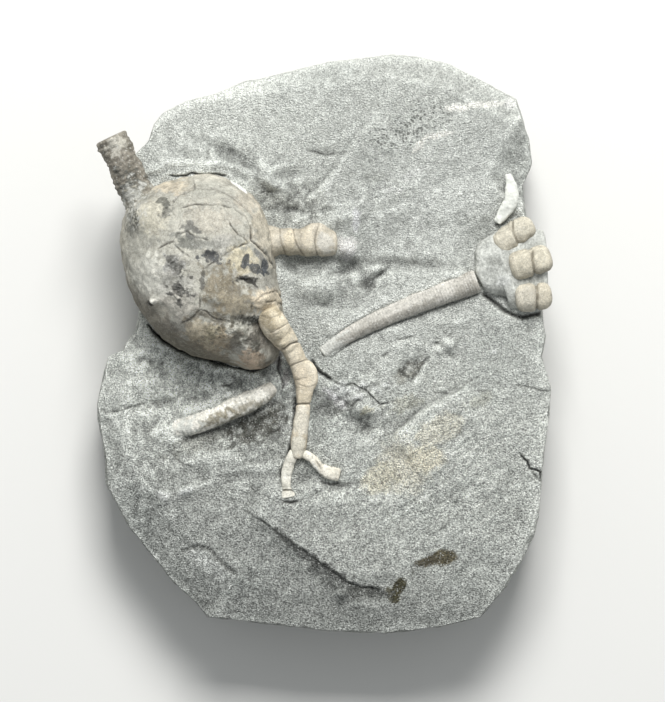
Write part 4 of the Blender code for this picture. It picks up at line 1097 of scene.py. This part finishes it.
def broken_sides(u, v, w):
    """The plan position of each point, with the rim nicked, and the sides hackly and bedded."""
    x, y = (in_outline(u, v) * np.interp(w, SIDE_LEVELS, SIDE_SHARES)[:, None]).T
    edge = np.minimum(np.minimum(u, 1 - u) * SLAB_ACROSS, np.minimum(v, 1 - v) * SLAB_ALONG)
    near_rim = np.clip(1 - edge / RIM, 0, 1) ** 2
    below = np.clip((1 - w) * 8, 0, 1)
    level = w * SLAB_DEEP
    hackle = rough(x, y, level, 6, 0.45, 11) + rough(x, y, level, 1.8, 0.16, 12)
    bedding = np.tanh(3 * rough(x / 9, y / 9, level, 2.2, 1, 13, 3)) * 0.35
    inward = near_rim * (np.abs(hackle) * 1.1 - 0.1 + below * (0.1 + bedding * 0.7))
    shrink = 1 - inward / np.hypot(x, y)
    shrink = np.where(w < 0.02, np.minimum(shrink, 1), shrink)
    return x * shrink, y * shrink


def slab_places(unit):
    """Where each point of the unit block lies on the slab, and the masks that its colours, painted
    shade and painted light follow.
    """
    u, v, w = np.clip(unit.T, 0, 1)
    x, y = broken_sides(u, v, w)
    broken = brokenness(x, y)
    flat = np.zeros(len(x))
    swells = rough(x, y, flat, 10, 0.5, 1) * (1 + 0.7 * eased((-15 - y) / 20))
    pebbly, lumps, crumbs = (
        rough(x, y, flat, size, height, seed) * (smooth_share + broken_share * broken)
        for size, height, seed, smooth_share, broken_share in ROUGHNESS)
    layers, chips = (
        np.tanh(steepness * rough(x, y, flat, size, 1, seed, 5)) * (height + more * broken)
        for size, steepness, seed, height, more in STEPS)
    sheared = drawn(x, y, 34, 5, 0.8, 0.15, 23) * rise(x, y, (26, -27), (24, 20), 1, 30)
    sway_x, sway_y = sway(x, y, flat, 2.8, 0.45, 27)
    z = relief(x + sway_x, y + sway_y) + swells + pebbly + lumps + crumbs + sheared
    z = z + layers + chips + shoulder(x, y)
    for at, size, height, turn in SMALL_RISES:
        z = z + rise(x + sway_x, y + sway_y, at, size, height, turn)
    for line, height, left, right in SMALL_CRESTS:
        z = z + crest(x + sway_x, y + sway_y, line, height, left, right, 2.0)
    # how dark each groove is painted, as painted shade in it
    cracks = flat
    for line, half_width, depth in GROOVES:
        cut = groove(x + 0.5 * sway_x, y + 0.5 * sway_y, line,
                     half_width * np.clip(1 + 1.6 * lumps, 0.4, 1.7))
        z = z - cut * depth
        cracks = np.maximum(cracks, cut * min(1, depth * 1.6))
    return np.stack([x, y, w * z], axis=1), w, broken, lumps + crumbs, sheared, cracks


def slab_paint(places, top, broken, crumbs, sheared, cracks):
    """The slab's colours: clouded grey, painted shade to its lower edges, stains and painted light on
    top.
    """
    x, y, z = places.T
    paint = clouded(rough(x, y, z, 22, 1, 31, 3), "#cbcdc6", (0.5, "#cfd1c9"), (0.5, "#aeb4ae"))
    # Painted shade: darker towards the bottom, the lower left and the bottom edge, where less light
    # falls
    for strength, nearer, colour in (
            (0.3, (10 - y) / 80, "#8f918c"),
            (0.5, (-0.6 * x - y - 20) / 50, "#80827e"),
            (0.5, (-50 - y) / 8, "#7d7f7b")):
        paint = tinted(paint, strength * eased(nearer), colour)
    # Painted shade in the low crumbs of broken ground
    paint = tinted(paint, broken * np.clip(-crumbs * 2, 0, 0.3) * top, "#94958f")
    # Painted light: ground painted paler, also where the large cup's shadow falls
    for at, size, turn, colour, strength in PAINTED_LIGHT_GROUND:
        paint = tinted(paint, strength * rise(x, y, at, size, 1, turn) * top, colour)
    # Painted light on the high crumbs
    paint = tinted(paint, np.clip(crumbs * 2.5, 0, 0.35) * top, "#dcded7")
    paint = tinted(paint, np.clip(sheared * 5, 0, 0.4), "#d3d4cb")
    paint = tinted(paint, np.clip(-sheared * 5, 0, 0.4), "#9da19a")
    # Stains, with painted shade and painted highlights among them, laid on the top
    painted = patched(paint, x, y, z, SLAB_STAINS_AND_PAINTED_LIGHT, 32)
    paint = paint + top[:, None] * (painted - paint)
    # Painted shade in the cracks and grooves
    return tinted(paint, cracks * top * 0.85, "#4a4a45")


def slab():
    """The slab of siltstone, with dark grains in their fields and coarser grain to the bottom."""
    mesh = slab_mesh()
    places, w, broken, crumbs, sheared, cracks = slab_places(places_of(mesh))
    top = np.clip(w * 30 - 29, 0, 1)
    paint = slab_paint(places, top, broken, crumbs, sheared, cracks)
    x, y, z = places.T
    spots = strewn(x, y, DARK_GRAINS) * top
    coarse = 0.1 + 0.9 * eased((25 - y) / 70)
    return finished("siltstone_slab_dressed", mesh, places, paint, SILTSTONE, 50,
                    ["siltstone_slab"], spots, coarse, np.clip(0.12 + 0.75 * broken, 0, 1))


# ---- large cup ------------------------------------------------------------------------------

CUP_EASING = (-5, -2.5, 0, 2.5, 5)  # degrees to each side over which the outline is eased
SHADED_SIDE = (-0.5, -0.75, -0.45)  # the low side, painted in shade


def cup_reach(bearing):
    """The reach of the large cup's outline on a bearing in degrees, eased between its points."""
    bearings, reaches = np.array(CUP_OUTLINE, float).T
    first, last = bearings[0], bearings[-1]
    bearing = np.where(bearing < first, bearing + 360, bearing)
    read = []
    for step in CUP_EASING:
        turned = np.where(bearing + step > last, bearing + step - 360, bearing + step)
        turned = np.where(turned < first, turned + 360, turned)
        read.append(np.interp(turned, bearings, reaches))
    return np.mean(read, axis=0)


def cup_mesh():
    """A fine ball, finer still on its upper side."""
    bm = bmesh.new()
    bmesh.ops.create_icosphere(bm, subdivisions=7, radius=1)
    height = np.array([v.co.normalized() for v in bm.verts])[:, 2]
    bm.verts.ensure_lookup_table()
    bmesh.ops.subdivide_edges(
        bm, cuts=1, edges=[e for e in bm.edges if min(height[v.index] for v in e.verts) > 0.45])
    return to_mesh("large_cup_dressed", bm)


def plain_cup(way):
    """The cup before its forms: where each point of the ball lies, and the way outwards there."""
    reach = cup_reach(np.degrees(np.arctan2(way[:, 1], way[:, 0])))
    spread = np.stack([reach, reach, np.full(len(reach), CUP_RISE)], axis=1)
    return way * spread + np.array(CUP_AT), normed(way / spread)


def cup_forms(x, y, z, way):
    """How far each point of the cup swells outwards, and how dark a seam runs through it."""
    facing = np.clip(way[:, 2] + 0.2, 0, 1)
    swell = sum(rise(x, y, *row) for row in CUP_RISES) * facing
    swell = swell + rough(x, y, z, 5, 0.5, 41, 3) + rough(x, y, z, 1.6, 0.1, 42, 3)
    swell = swell + sum(crest(x, y, *row) for row in CUP_CRESTS) * facing
    swell = swell + sum(rise(x, y, *row) for row in CUP_DENTS) * facing
    seams = np.zeros(len(x))
    open_seam = np.clip(0.7 + 1.3 * rough(x, y, z, 4, 1, 46, 2), 0.2, 1)
    sway_x, sway_y = sway(x, y, z, 2, 0.25, 50)
    for line, half_width, depth in CUP_SEAMS:
        cut = groove(x + sway_x, y + sway_y, line, half_width) * (way[:, 2] > -0.1)
        swell = swell - cut * depth * open_seam + 0.14 * (groove(x, y, line, 1.3) - cut)
        seams = np.maximum(seams, cut * open_seam * min(1, depth * 4))
    return swell, seams


def cup_paint(x, y, z, way, seams):
    """The cup's colours: clouds, stains, grime, fine veins, painted shade on its low sides and dark
    seams.
    """
    paint = clouded(rough(x, y, z, 7, 1.4, 43, 4), "#a3a196", (0.75, "#bab7ab"), (0.8, "#83817a"))
    # Painted shade on the cup's steep and lower sides
    paint = tinted(paint, np.clip(-(way[:, 2] - 0.45) * 1.6, 0, 0.75), "#9d9687")
    # Stains, with painted shade and a painted glint among them
    paint = patched(paint, x, y, z, CUP_STAINS_AND_PAINTED_LIGHT, 44)
    grime = rough(x, y, z, 1.5, 1, 47, 4) + 0.7 * rough(x, y, z, 7, 1, 48, 2)
    paint = tinted(paint, 0.45 * np.clip(grime * 3 - 1.9, 0, 1), "#6b6962")
    for size, seed, dark in ((3.4, 45, 0.25), (6.5, 49, 0.4)):
        veins = np.abs(rough(x, y, z, size, 1, seed, 4))
        paint = tinted(paint, dark * np.clip(1 - veins * 12, 0, 1), "#726e65")
    # Painted shade on the low side away from the light
    on_shaded_side = way @ np.array(SHADED_SIDE)
    paint = tinted(paint, 0.8 * eased((on_shaded_side - 0.28) / 0.4), "#645f53")
    return tinted(paint, seams * 0.85, "#4b473f")


def large_cup():
    """The large cup: a fine ball drawn out to its outline, with its plates, seams and stains."""
    mesh = cup_mesh()
    way = normed(places_of(mesh))
    places, out = plain_cup(way)
    x, y, z = places.T
    swell, seams = cup_forms(x, y, z, way)
    paint = cup_paint(x, y, z, way, seams)
    patchy = np.clip(1 + 2 * rough(x, y, z, 2, 1, 52, 3), 0, 1)
    grit = strewn(x, y, CUP_GRIT) * (way[:, 2] > 0) * patchy
    return finished("large_cup_dressed", mesh, places + out * swell[:, None], paint, CALCITE, 60,
                    ["large_cup"], grit, torn=grit, cavity_light=1.7)


# ---- round pieces ---------------------------------------------------------------------------

CAP_RINGS = 3  # rings of each flat end
ROUND_RINGS = 5  # rings of the rounded edge between an end and the side
PATH_READINGS = 200  # how often a path is read to find which way it runs


def ring_places(total, radius, rings, round_edge):
    """Where the rings of a limb lie on its path, from 0 to 1, and how full each one is."""
    quarter = np.linspace(0, math.pi / 2, ROUND_RINGS + 1)
    inset = round_edge / radius
    cap_share = np.concatenate([np.zeros(CAP_RINGS), round_edge / total * (1 - np.cos(quarter))])
    cap_full = np.concatenate([np.linspace(0, 1 - inset, CAP_RINGS + 1)[:-1],
                               1 - inset * (1 - np.sin(quarter))])
    middle = np.linspace(cap_share[-1], 1 - cap_share[-1], rings + 1)[1:-1]
    shares = np.concatenate([cap_share, middle, 1 - cap_share[::-1]])
    fulls = np.concatenate([cap_full, np.ones(len(middle)), cap_full[::-1]])
    return shares, fulls


def across_and_up(path, shares):
    """The directions across the path and up from it, at each share of its length."""
    readings = np.linspace(0, 1, PATH_READINGS)
    ahead = np.gradient(stations(path, readings)[:, :3], axis=0)
    ahead = normed(np.stack([np.interp(shares, readings, ahead[:, k]) for k in range(3)], 1))
    across = normed(np.cross(ahead, (0, 0, 1)))
    return across, np.cross(across, ahead)


def limb(name, path, sides, rings, round_edge, swell, section=2.0):
    """A closed round piece along a path: a grid wrapped round it, with flat rounded ends.

    swell(length along the path in mm, angle) gives how full each ring is. A section of 2 is round
    and larger ones are squarer. Gives its mesh, its places and the way outwards at each of them.
    """
    bm = bmesh.new()
    ends = CAP_RINGS + ROUND_RINGS
    bmesh.ops.create_grid(bm, x_segments=rings + 2 * ends, y_segments=sides, size=0.5,
                          matrix=Matrix.Translation((0.5, 0.5, 0)))
    mesh = to_mesh(name, bm)
    unit = places_of(mesh)
    total = path_length(path)
    shares, fulls = ring_places(total, min(path[0][3], path[-1][3]), rings, round_edge)
    index = np.clip(np.rint(unit[:, 0] * (len(shares) - 1)).astype(int), 0, len(shares) - 1)
    rows = stations(path, shares)[index]
    across, up = (side[index] for side in across_and_up(path, shares))
    angle = unit[:, 1] * 2 * math.pi
    c, s = np.cos(angle), np.sin(angle)
    wide = np.sign(c) * np.abs(c) ** (2 / section)
    high = np.sign(s) * np.abs(s) ** (2 / section)
    size = rows[:, 3:5] * fulls[index][:, None]
    way = across * (wide * size[:, 0])[:, None] + up * (high * size[:, 1])[:, None]
    places = rows[:, :3] + way * swell(shares[index] * total, angle)[:, None]
    return mesh, places, across * c[:, None] + up * s[:, None]


def even(length, angle):
    """As full at every ring."""
    return np.ones(len(length))


def waisted(path, waist, width):
    """Drawn in at each joint of the path, by `waist` over `width` millimetres."""
    joints = lengths(np.array(path)[:, :3])
    total = path_length(path)

    def full(length, angle):
        drawn_in = sum(np.exp(-((length - total * joint) / width) ** 2) for joint in joints[1:-1])
        return 1 - waist * drawn_in

    return full


def ringed(spacing, height, seed):
    """Raised rings `spacing` apart along a column, uneven as weathered discs are."""
    def full(length, angle):
        wobble = rough(length / 3, np.cos(angle), np.sin(angle), 2.2, 0.5, seed, 2)
        wave = np.cos((length + wobble * spacing) * 2 * math.pi / spacing)
        left = 0.6 + 0.5 * rough(length, np.cos(angle), np.sin(angle), 3, 1, seed + 1, 2)
        return 1 + height * (np.abs(wave) ** 0.7 * np.sign(wave)) * np.clip(left, 0.2, 1.2) - height

    return full


def fossil(node_name, made, material, colours, stains, seams, seed, lump=0.12,
           low_dark="#6f6a5f"):
    """A fossil piece painted and roughened: seams cut in, mottling, painted shade along its lower
    sides.

    colours are its ground colour and the lighter and the darker one of its mottling.
    """
    mesh, places, out = made
    x, y, z = places.T
    facing = np.clip(out[:, 2] * 2 + 1, 0, 1)
    swell = rough(x, y, z, 2.6, lump, seed, 3) + rough(x, y, z, 0.8, lump * 0.3, seed + 1, 3)
    cuts = np.zeros(len(x))
    for line, half_width, depth in seams:
        cut = groove(x, y, line, half_width) * facing
        swell = swell - cut * depth
        cuts = np.maximum(cuts, cut * min(1, depth * 4))
    base, light, dark = colours
    paint = clouded(rough(x, y, z, 3, 1, seed + 2, 4), base, (0.8, light), (0.8, dark))
    paint = patched(paint, x, y, z, stains, seed + 3)
    # Painted shade along the lower sides
    paint = tinted(paint, np.clip(0.25 - out[:, 2], 0, 1) * 0.8, low_dark)
    patchy = np.clip(0.65 + 0.8 * rough(x, y, z, 1.5, 1, seed + 4, 2), 0.2, 1)
    paint = tinted(paint, cuts * 0.75 * patchy, "#665f51")
    return finished(node_name + "_dressed", mesh, places + out * swell[:, None], paint, material,
                    55, [node_name])


def round_piece(node_name, path, shape, material, colours, stains, seams, seed, **finish):
    """A limb with the shape that limb() takes after its path, finished as a fossil."""
    made = limb(node_name + "_dressed", path, *shape)
    fossil(node_name, made, material, colours, stains, seams, seed, **finish)


# ---- materials ------------------------------------------------------------------------------

CRAG_SIZE = 1.3  # the crags of ground that broke rough
HAIRLINE_SPACING = 3.4  # between the fine cracks of the calcite
HAIRLINE_SWAY = 1.6  # how far those cracks wander
DARK_GRAIN_SWAY = 0.9
# Mottling: its size in grains, its detail and roughness, and its share of the mottle
MOTTLES = ((2.6, 3.0, 0.6, 1), (14, 4.0, 0.55, 0.6))


def add(tree, kind, settings=None, **links):
    """Adds a node, with its settings, and with a value or another node's output on each input.

    An input is given by its name, with _ for a space, or as i and its number.
    """
    made = tree.nodes.new(kind)
    for name, value in (settings or {}).items():
        setattr(made, name, value)
    for name, value in links.items():
        numbered = name[0] == "i" and name[1:].isdigit()
        socket = made.inputs[int(name[1:]) if numbered else name.replace("_", " ")]
        if isinstance(value, bpy.types.NodeSocket):
            tree.links.new(value, socket)
        else:
            socket.default_value = value
    return made.outputs


def stone(name, grain, grain_light, mottle, fleck, speck, roughness, relief_depth, polish=0.0,
          hairlines=0.0, grit="#63665f"):
    """A painted stone surface: mottling, grain, pale flecks and dark specks, over a fine bump.

    grain is the size of the grain in millimetres, and relief_depth how far it stands out. Where
    the stone broke rough, small crags stand out too. hairlines is how dark its fine cracks are,
    and grit the colour of the dark grains on it.
    """
    material = bpy.data.materials.new(name)
    material.use_nodes = True
    tree = material.node_tree
    shader = tree.nodes["Principled BSDF"]
    at = add(tree, "ShaderNodeTexCoord")["Object"]
    wash, coarse, torn = (add(tree, "ShaderNodeAttribute", {"attribute_name": layer})
                          for layer in ("wash", "coarse", "torn"))
    torn = torn["Fac"]

    # Grain: each cell is lighter or darker, and more so where the stone is coarse
    cells = add(tree, "ShaderNodeTexVoronoi", Vector=at, Scale=1 / (grain * MM), Randomness=1.0)
    split = add(tree, "ShaderNodeSeparateColor", Color=cells["Color"])
    spread = add(tree, "ShaderNodeMath", {"operation": "MULTIPLY_ADD"}, i0=coarse["Fac"],
                 i1=grain_light, i2=grain_light)[0]
    centred = add(tree, "ShaderNodeMapRange", Value=split["Red"], To_Min=-1.0, To_Max=1.0)[0]
    shade = add(tree, "ShaderNodeMath", {"operation": "MULTIPLY_ADD"}, i0=centred, i1=spread,
                i2=1.0)[0]

    # What shades the grain: mottling, then crags, then fine cracks
    shades = []
    for size, detail, mottle_roughness, share in MOTTLES:
        patches = add(tree, "ShaderNodeTexNoise", Vector=at, Scale=1 / (grain * size * MM),
                      Detail=detail, Roughness=mottle_roughness)[0]
        shades.append(add(tree, "ShaderNodeMapRange", Value=patches, From_Min=0.3, From_Max=0.7,
                          To_Min=1 - mottle * share, To_Max=1 + mottle * share)[0])
    crags = add(tree, "ShaderNodeTexNoise", Vector=at, Scale=1 / (CRAG_SIZE * MM), Detail=4.0,
                Roughness=0.6)[0]
    crag_shade = add(tree, "ShaderNodeMapRange", Value=crags, From_Min=0.36, From_Max=0.62,
                     To_Min=-0.3, To_Max=0.25)[0]
    shades.append(add(tree, "ShaderNodeMath", {"operation": "MULTIPLY_ADD"}, i0=crag_shade,
                      i1=torn, i2=1.0)[0])
    if hairlines:
        drift = add(tree, "ShaderNodeTexNoise", Vector=at, Scale=1 / (2.2 * MM), Detail=4.0)
        bent = add(tree, "ShaderNodeVectorMath", {"operation": "MULTIPLY_ADD"}, i0=drift["Color"],
                   i1=(HAIRLINE_SWAY * MM,) * 3, i2=at)[0]
        lines = add(tree, "ShaderNodeTexVoronoi", {"feature": "DISTANCE_TO_EDGE"}, Vector=bent,
                    Scale=1 / (HAIRLINE_SPACING * MM))[0]
        lines = add(tree, "ShaderNodeMapRange", Value=lines, From_Min=0.0, From_Max=0.035,
                    To_Min=1.0, To_Max=0.0)[0]
        some = add(tree, "ShaderNodeTexNoise", Vector=at, Scale=1 / (4.5 * MM), Detail=2.0)[0]
        some = add(tree, "ShaderNodeMapRange", Value=some, From_Min=0.46, From_Max=0.58,
                   To_Min=0.0, To_Max=-hairlines)[0]
        shades.append(add(tree, "ShaderNodeMath", {"operation": "MULTIPLY_ADD"}, i0=lines,
                          i1=some, i2=1.0)[0])
    for factor in shades:
        shade = add(tree, "ShaderNodeMath", {"operation": "MULTIPLY"}, i0=shade, i1=factor)[0]
    grey = add(tree, "ShaderNodeCombineColor", Red=shade, Green=shade, Blue=shade)[0]
    colour = add(tree, "ShaderNodeMix", {"data_type": "RGBA", "blend_type": "MULTIPLY"},
                 i0=1.0, i6=wash["Color"], i7=grey)[2]

    # Pale flecks, dark specks, and the dark grains where they lie
    pale = add(tree, "ShaderNodeMapRange", Value=split["Green"], From_Min=0.9, From_Max=0.96,
               To_Min=0.0, To_Max=fleck)[0]
    dark = add(tree, "ShaderNodeMapRange", Value=split["Blue"], From_Min=0.9, From_Max=0.97,
               To_Min=0.0, To_Max=speck)[0]
    drift = add(tree, "ShaderNodeTexNoise", Vector=at, Scale=1 / (0.7 * MM), Detail=2.0)["Color"]
    bent = add(tree, "ShaderNodeVectorMath", {"operation": "MULTIPLY_ADD"}, i0=drift,
               i1=(DARK_GRAIN_SWAY * MM,) * 3, i2=at)[0]
    dots = add(tree, "ShaderNodeTexVoronoi", Vector=bent, Scale=1 / (DARK_GRAIN_SPACING * MM))
    dots = add(tree, "ShaderNodeMapRange", Value=dots["Distance"], From_Min=0.3, From_Max=0.42,
               To_Min=0.75, To_Max=0.0)[0]
    dots = add(tree, "ShaderNodeMath", {"operation": "MULTIPLY"}, i0=dots, i1=wash["Alpha"])[0]
    for amount, tone in ((pale, "#eef0ea"), (dark, "#5c5e5a"), (dots, grit)):
        colour = add(tree, "ShaderNodeMix", {"data_type": "RGBA"}, i0=amount, i6=colour,
                     i7=(*linear(tone), 1))[2]
    tree.links.new(colour, shader.inputs["Base Color"])

    # Gloss and relief
    dull = add(tree, "ShaderNodeMapRange", Value=split["Green"], To_Min=roughness - 0.08,
               To_Max=min(1.0, roughness + 0.06))[0]
    tree.links.new(dull, shader.inputs["Roughness"])
    heights = add(tree, "ShaderNodeTexNoise", Vector=at, Scale=1 / (grain * 1.4 * MM), Detail=2.0,
                  Roughness=0.6)[0]
    stands = add(tree, "ShaderNodeMath", {"operation": "MULTIPLY_ADD"}, i0=split["Red"], i1=0.25,
                 i2=heights)[0]
    stands = add(tree, "ShaderNodeMath", {"operation": "MULTIPLY"}, i0=stands, i1=relief_depth)[0]
    craggy = add(tree, "ShaderNodeMath", {"operation": "MULTIPLY"}, i0=crags, i1=torn)[0]
    stands = add(tree, "ShaderNodeMath", {"operation": "MULTIPLY_ADD"}, i0=craggy, i1=0.9,
                 i2=stands)[0]
    bump = add(tree, "ShaderNodeBump", Strength=1.0, Distance=MM, Height=stands)[0]
    tree.links.new(bump, shader.inputs["Normal"])
    shader.inputs["Metallic"].default_value = 0.0
    shader.inputs["IOR"].default_value = 1.5
    shader.inputs["Specular IOR Level"].default_value = 0.25 + polish
    return material


# Siltstone: split along its bedding and broken by hammer. Fine sugary quartz grains with pale
# mica flecks and dark specks, and no gloss. The grains are drawn a little coarser than they are,
# so that they show.
SILTSTONE = stone("weathered_siltstone", grain=0.22, grain_light=0.33, mottle=0.06, fleck=0.55,
                  speck=0.5, roughness=0.95, relief_depth=1.05)
# Calcite plates of the large fossil: cleaned with a fine air abrasive, so smooth and a little
# waxy, with faint mottling.
CALCITE = stone("buff_calcite", grain=0.22, grain_light=0.17, mottle=0.08, fleck=0.15, speck=0.3,
                roughness=0.7, relief_depth=0.12, hairlines=0.14, grit="#37362f")
# Calcite that the abrasive left chalky: the columns and the small fossil.
CHALKY = stone("chalky_calcite", grain=0.26, grain_light=0.18, mottle=0.12, fleck=0.25, speck=0.35,
               roughness=0.8, relief_depth=0.1)
# Shell: thin, bright and almost smooth.
SHELL_WHITE = stone("white_shell", grain=0.4, grain_light=0.05, mottle=0.06, fleck=0.3, speck=0.08,
                    roughness=0.6, relief_depth=0.05, polish=0.1)


# ---- the pieces -----------------------------------------------------------------------------


def short_arm():
    """The short arm, with the lump on the far side of its third segment."""
    mesh, places, out = limb("short_arm_dressed", SHORT_ARM, 64, 110, 0.8,
                             waisted(SHORT_ARM, 0.11, 1.1))
    lump = rise(places[:, 0], places[:, 1], (-1.6, 24.6), (2.4, 1.8), 1.7)
    places = places + np.stack([np.zeros(len(lump)), lump, lump * 0.3], axis=1)
    fossil("short_arm", (mesh, places, out), CALCITE, ("#a69f90", "#b9b3a5", "#90897a"),
           SHORT_ARM_STAINS_AND_SHADE, SHORT_ARM_SEAMS, 51)


def long_arm():
    """The long arm down to its fork, and the branch on each side of the fork."""
    round_piece("long_arm", LONG_ARM, (48, 260, 0.5, waisted(LONG_ARM, 0.05, 0.7), 2.4), CALCITE,
                ("#beb4a0", "#d0c8b6", "#a39984"), LONG_ARM_STAINS_AND_SHADE, LONG_ARM_SEAMS, 56)
    for node_name, path, colours, stains, seams, seed in (
            ("long_arm_left_branch", LEFT_BRANCH, ("#c6c3b7", "#d9d6cc", "#a7a398"),
             LEFT_BRANCH_STAINS, LEFT_BRANCH_SEAMS, 61),
            ("long_arm_right_branch", RIGHT_BRANCH, ("#c3beb0", "#d7d3c7", "#a19d90"),
             RIGHT_BRANCH_STAINS, RIGHT_BRANCH_SEAMS, 66)):
        round_piece(node_name, path, (36, 90, 0.4, waisted(path, 0.08, 0.4), 2.6), CHALKY,
                    colours, stains, seams, seed)


def columns():
    """The stub of the stem, the long slender column and its far piece, ringed all along."""
    round_piece("stem", STEM, (72, 150, 0.5, ringed(1.25, 0.03, 71)), CHALKY,
                ("#79746a", "#9b978b", "#59554b"), STEM_STAINS, [], 72, lump=0.38,
                low_dark="#57534a")
    round_piece("small_column", COLUMN, (56, 330, 0.4, ringed(0.62, 0.018, 75)), CHALKY,
                ("#aba8a0", "#c0bcb4", "#8e8980"), COLUMN_STAINS_AND_SHADE, [], 76, lump=0.1,
                low_dark="#8b877f")
    round_piece("small_column_far_piece", FAR_PIECE, (56, 200, 0.9, ringed(0.9, 0.02, 79)),
                CHALKY, ("#cbc8be", "#dcd9d0", "#a5a297"), FAR_PIECE_STAINS_AND_LIGHT, [], 80, lump=0.2)


def small_sea_lily():
    """The small cup at the end of its column, its three rows of plates, and the shell by it."""
    round_piece("small_cup", SMALL_CUP, (90, 120, 0.9, even, 2.3), CHALKY,
                ("#a4a59f", "#bdbeb7", "#868781"), SMALL_CUP_STAINS, [], 84, lump=0.25)
    for node_name, path, seed in (("small_arm_upper", UPPER_SMALL_ARM, 88),
                                  ("small_arm_middle", MIDDLE_SMALL_ARM, 92),
                                  ("small_arm_lower", LOWER_SMALL_ARM, 96)):
        round_piece(node_name, path, (60, 110, 1.6, waisted(path, 0.12, 0.6), 2.35), CALCITE,
                    ("#9f998a", "#b3ad9e", "#858175"), SMALL_ARM_STAINS, SMALL_ARM_SEAMS, seed,
                    lump=0.16, low_dark="#8d8c84")
    round_piece("shell_fragment", SHELL, (32, 90, 0.3, even, 2.6), SHELL_WHITE,
                ("#c7c8c0", "#dbdad3", "#adaea8"), [], [], 99, lump=0.2, low_dark="#9c9d98")


# ---- camera, floor and light ----------------------------------------------------------------

CAMERA_AT = (0.00177, -0.00143, 1.6)  # metres
SENSOR_WIDTH, LENS_LENGTH = 36, 398.7
VIEW_END = 10  # metres
FLOOR_REACH, FLOOR_LEVEL = 1.5, -0.0002  # metres
SKY_TINT = (0.93, 0.97, 1, 1)
WORLD_LIGHT = 0.44
# Soft boxes: name, place in metres, side in metres, power in watts
LIGHTS = [
    ("key_soft_box", (0.05, 0.52, 0.62), 0.34, 8.8),
]


def stage():
    """A pale floor, a camera straight above and a large soft light beyond the slab's top end."""
    scene = bpy.context.scene
    scene.view_settings.view_transform = "Standard"

    lens = bpy.data.cameras.new("camera")
    lens.sensor_fit = "HORIZONTAL"
    lens.sensor_width = SENSOR_WIDTH
    lens.lens = LENS_LENGTH
    lens.clip_end = VIEW_END
    camera = bpy.data.objects.new("camera", lens)
    camera.location = CAMERA_AT
    scene.collection.objects.link(camera)
    scene.camera = camera

    bm = bmesh.new()
    bmesh.ops.create_grid(bm, x_segments=1, y_segments=1, size=FLOOR_REACH,
                          matrix=Matrix.Translation((0, 0, FLOOR_LEVEL)))
    floor = bpy.data.objects.new("floor", to_mesh("floor", bm))
    paper = bpy.data.materials.new("pale_backdrop_paper")
    paper.use_nodes = True
    shader = paper.node_tree.nodes["Principled BSDF"]
    shader.inputs["Base Color"].default_value = (*linear("#d9d8d4"), 1)
    shader.inputs["Roughness"].default_value = 0.9
    floor.data.materials.append(paper)
    scene.collection.objects.link(floor)

    world = bpy.data.worlds.new("studio")
    world.use_nodes = True
    sky = world.node_tree.nodes["Background"]
    sky.inputs["Color"].default_value = SKY_TINT
    sky.inputs["Strength"].default_value = WORLD_LIGHT
    scene.world = world

    for name, place, size, watts in LIGHTS:
        soft_box = bpy.data.lights.new(name, "AREA")
        soft_box.shape = "SQUARE"
        soft_box.size = size
        soft_box.energy = watts
        lamp = bpy.data.objects.new(name, soft_box)
        lamp.location = place
        lamp.rotation_euler = (-Vector(place)).to_track_quat("-Z", "Y").to_euler()
        scene.collection.objects.link(lamp)


slab()
large_cup()
short_arm()
long_arm()
columns()
small_sea_lily()
stage()
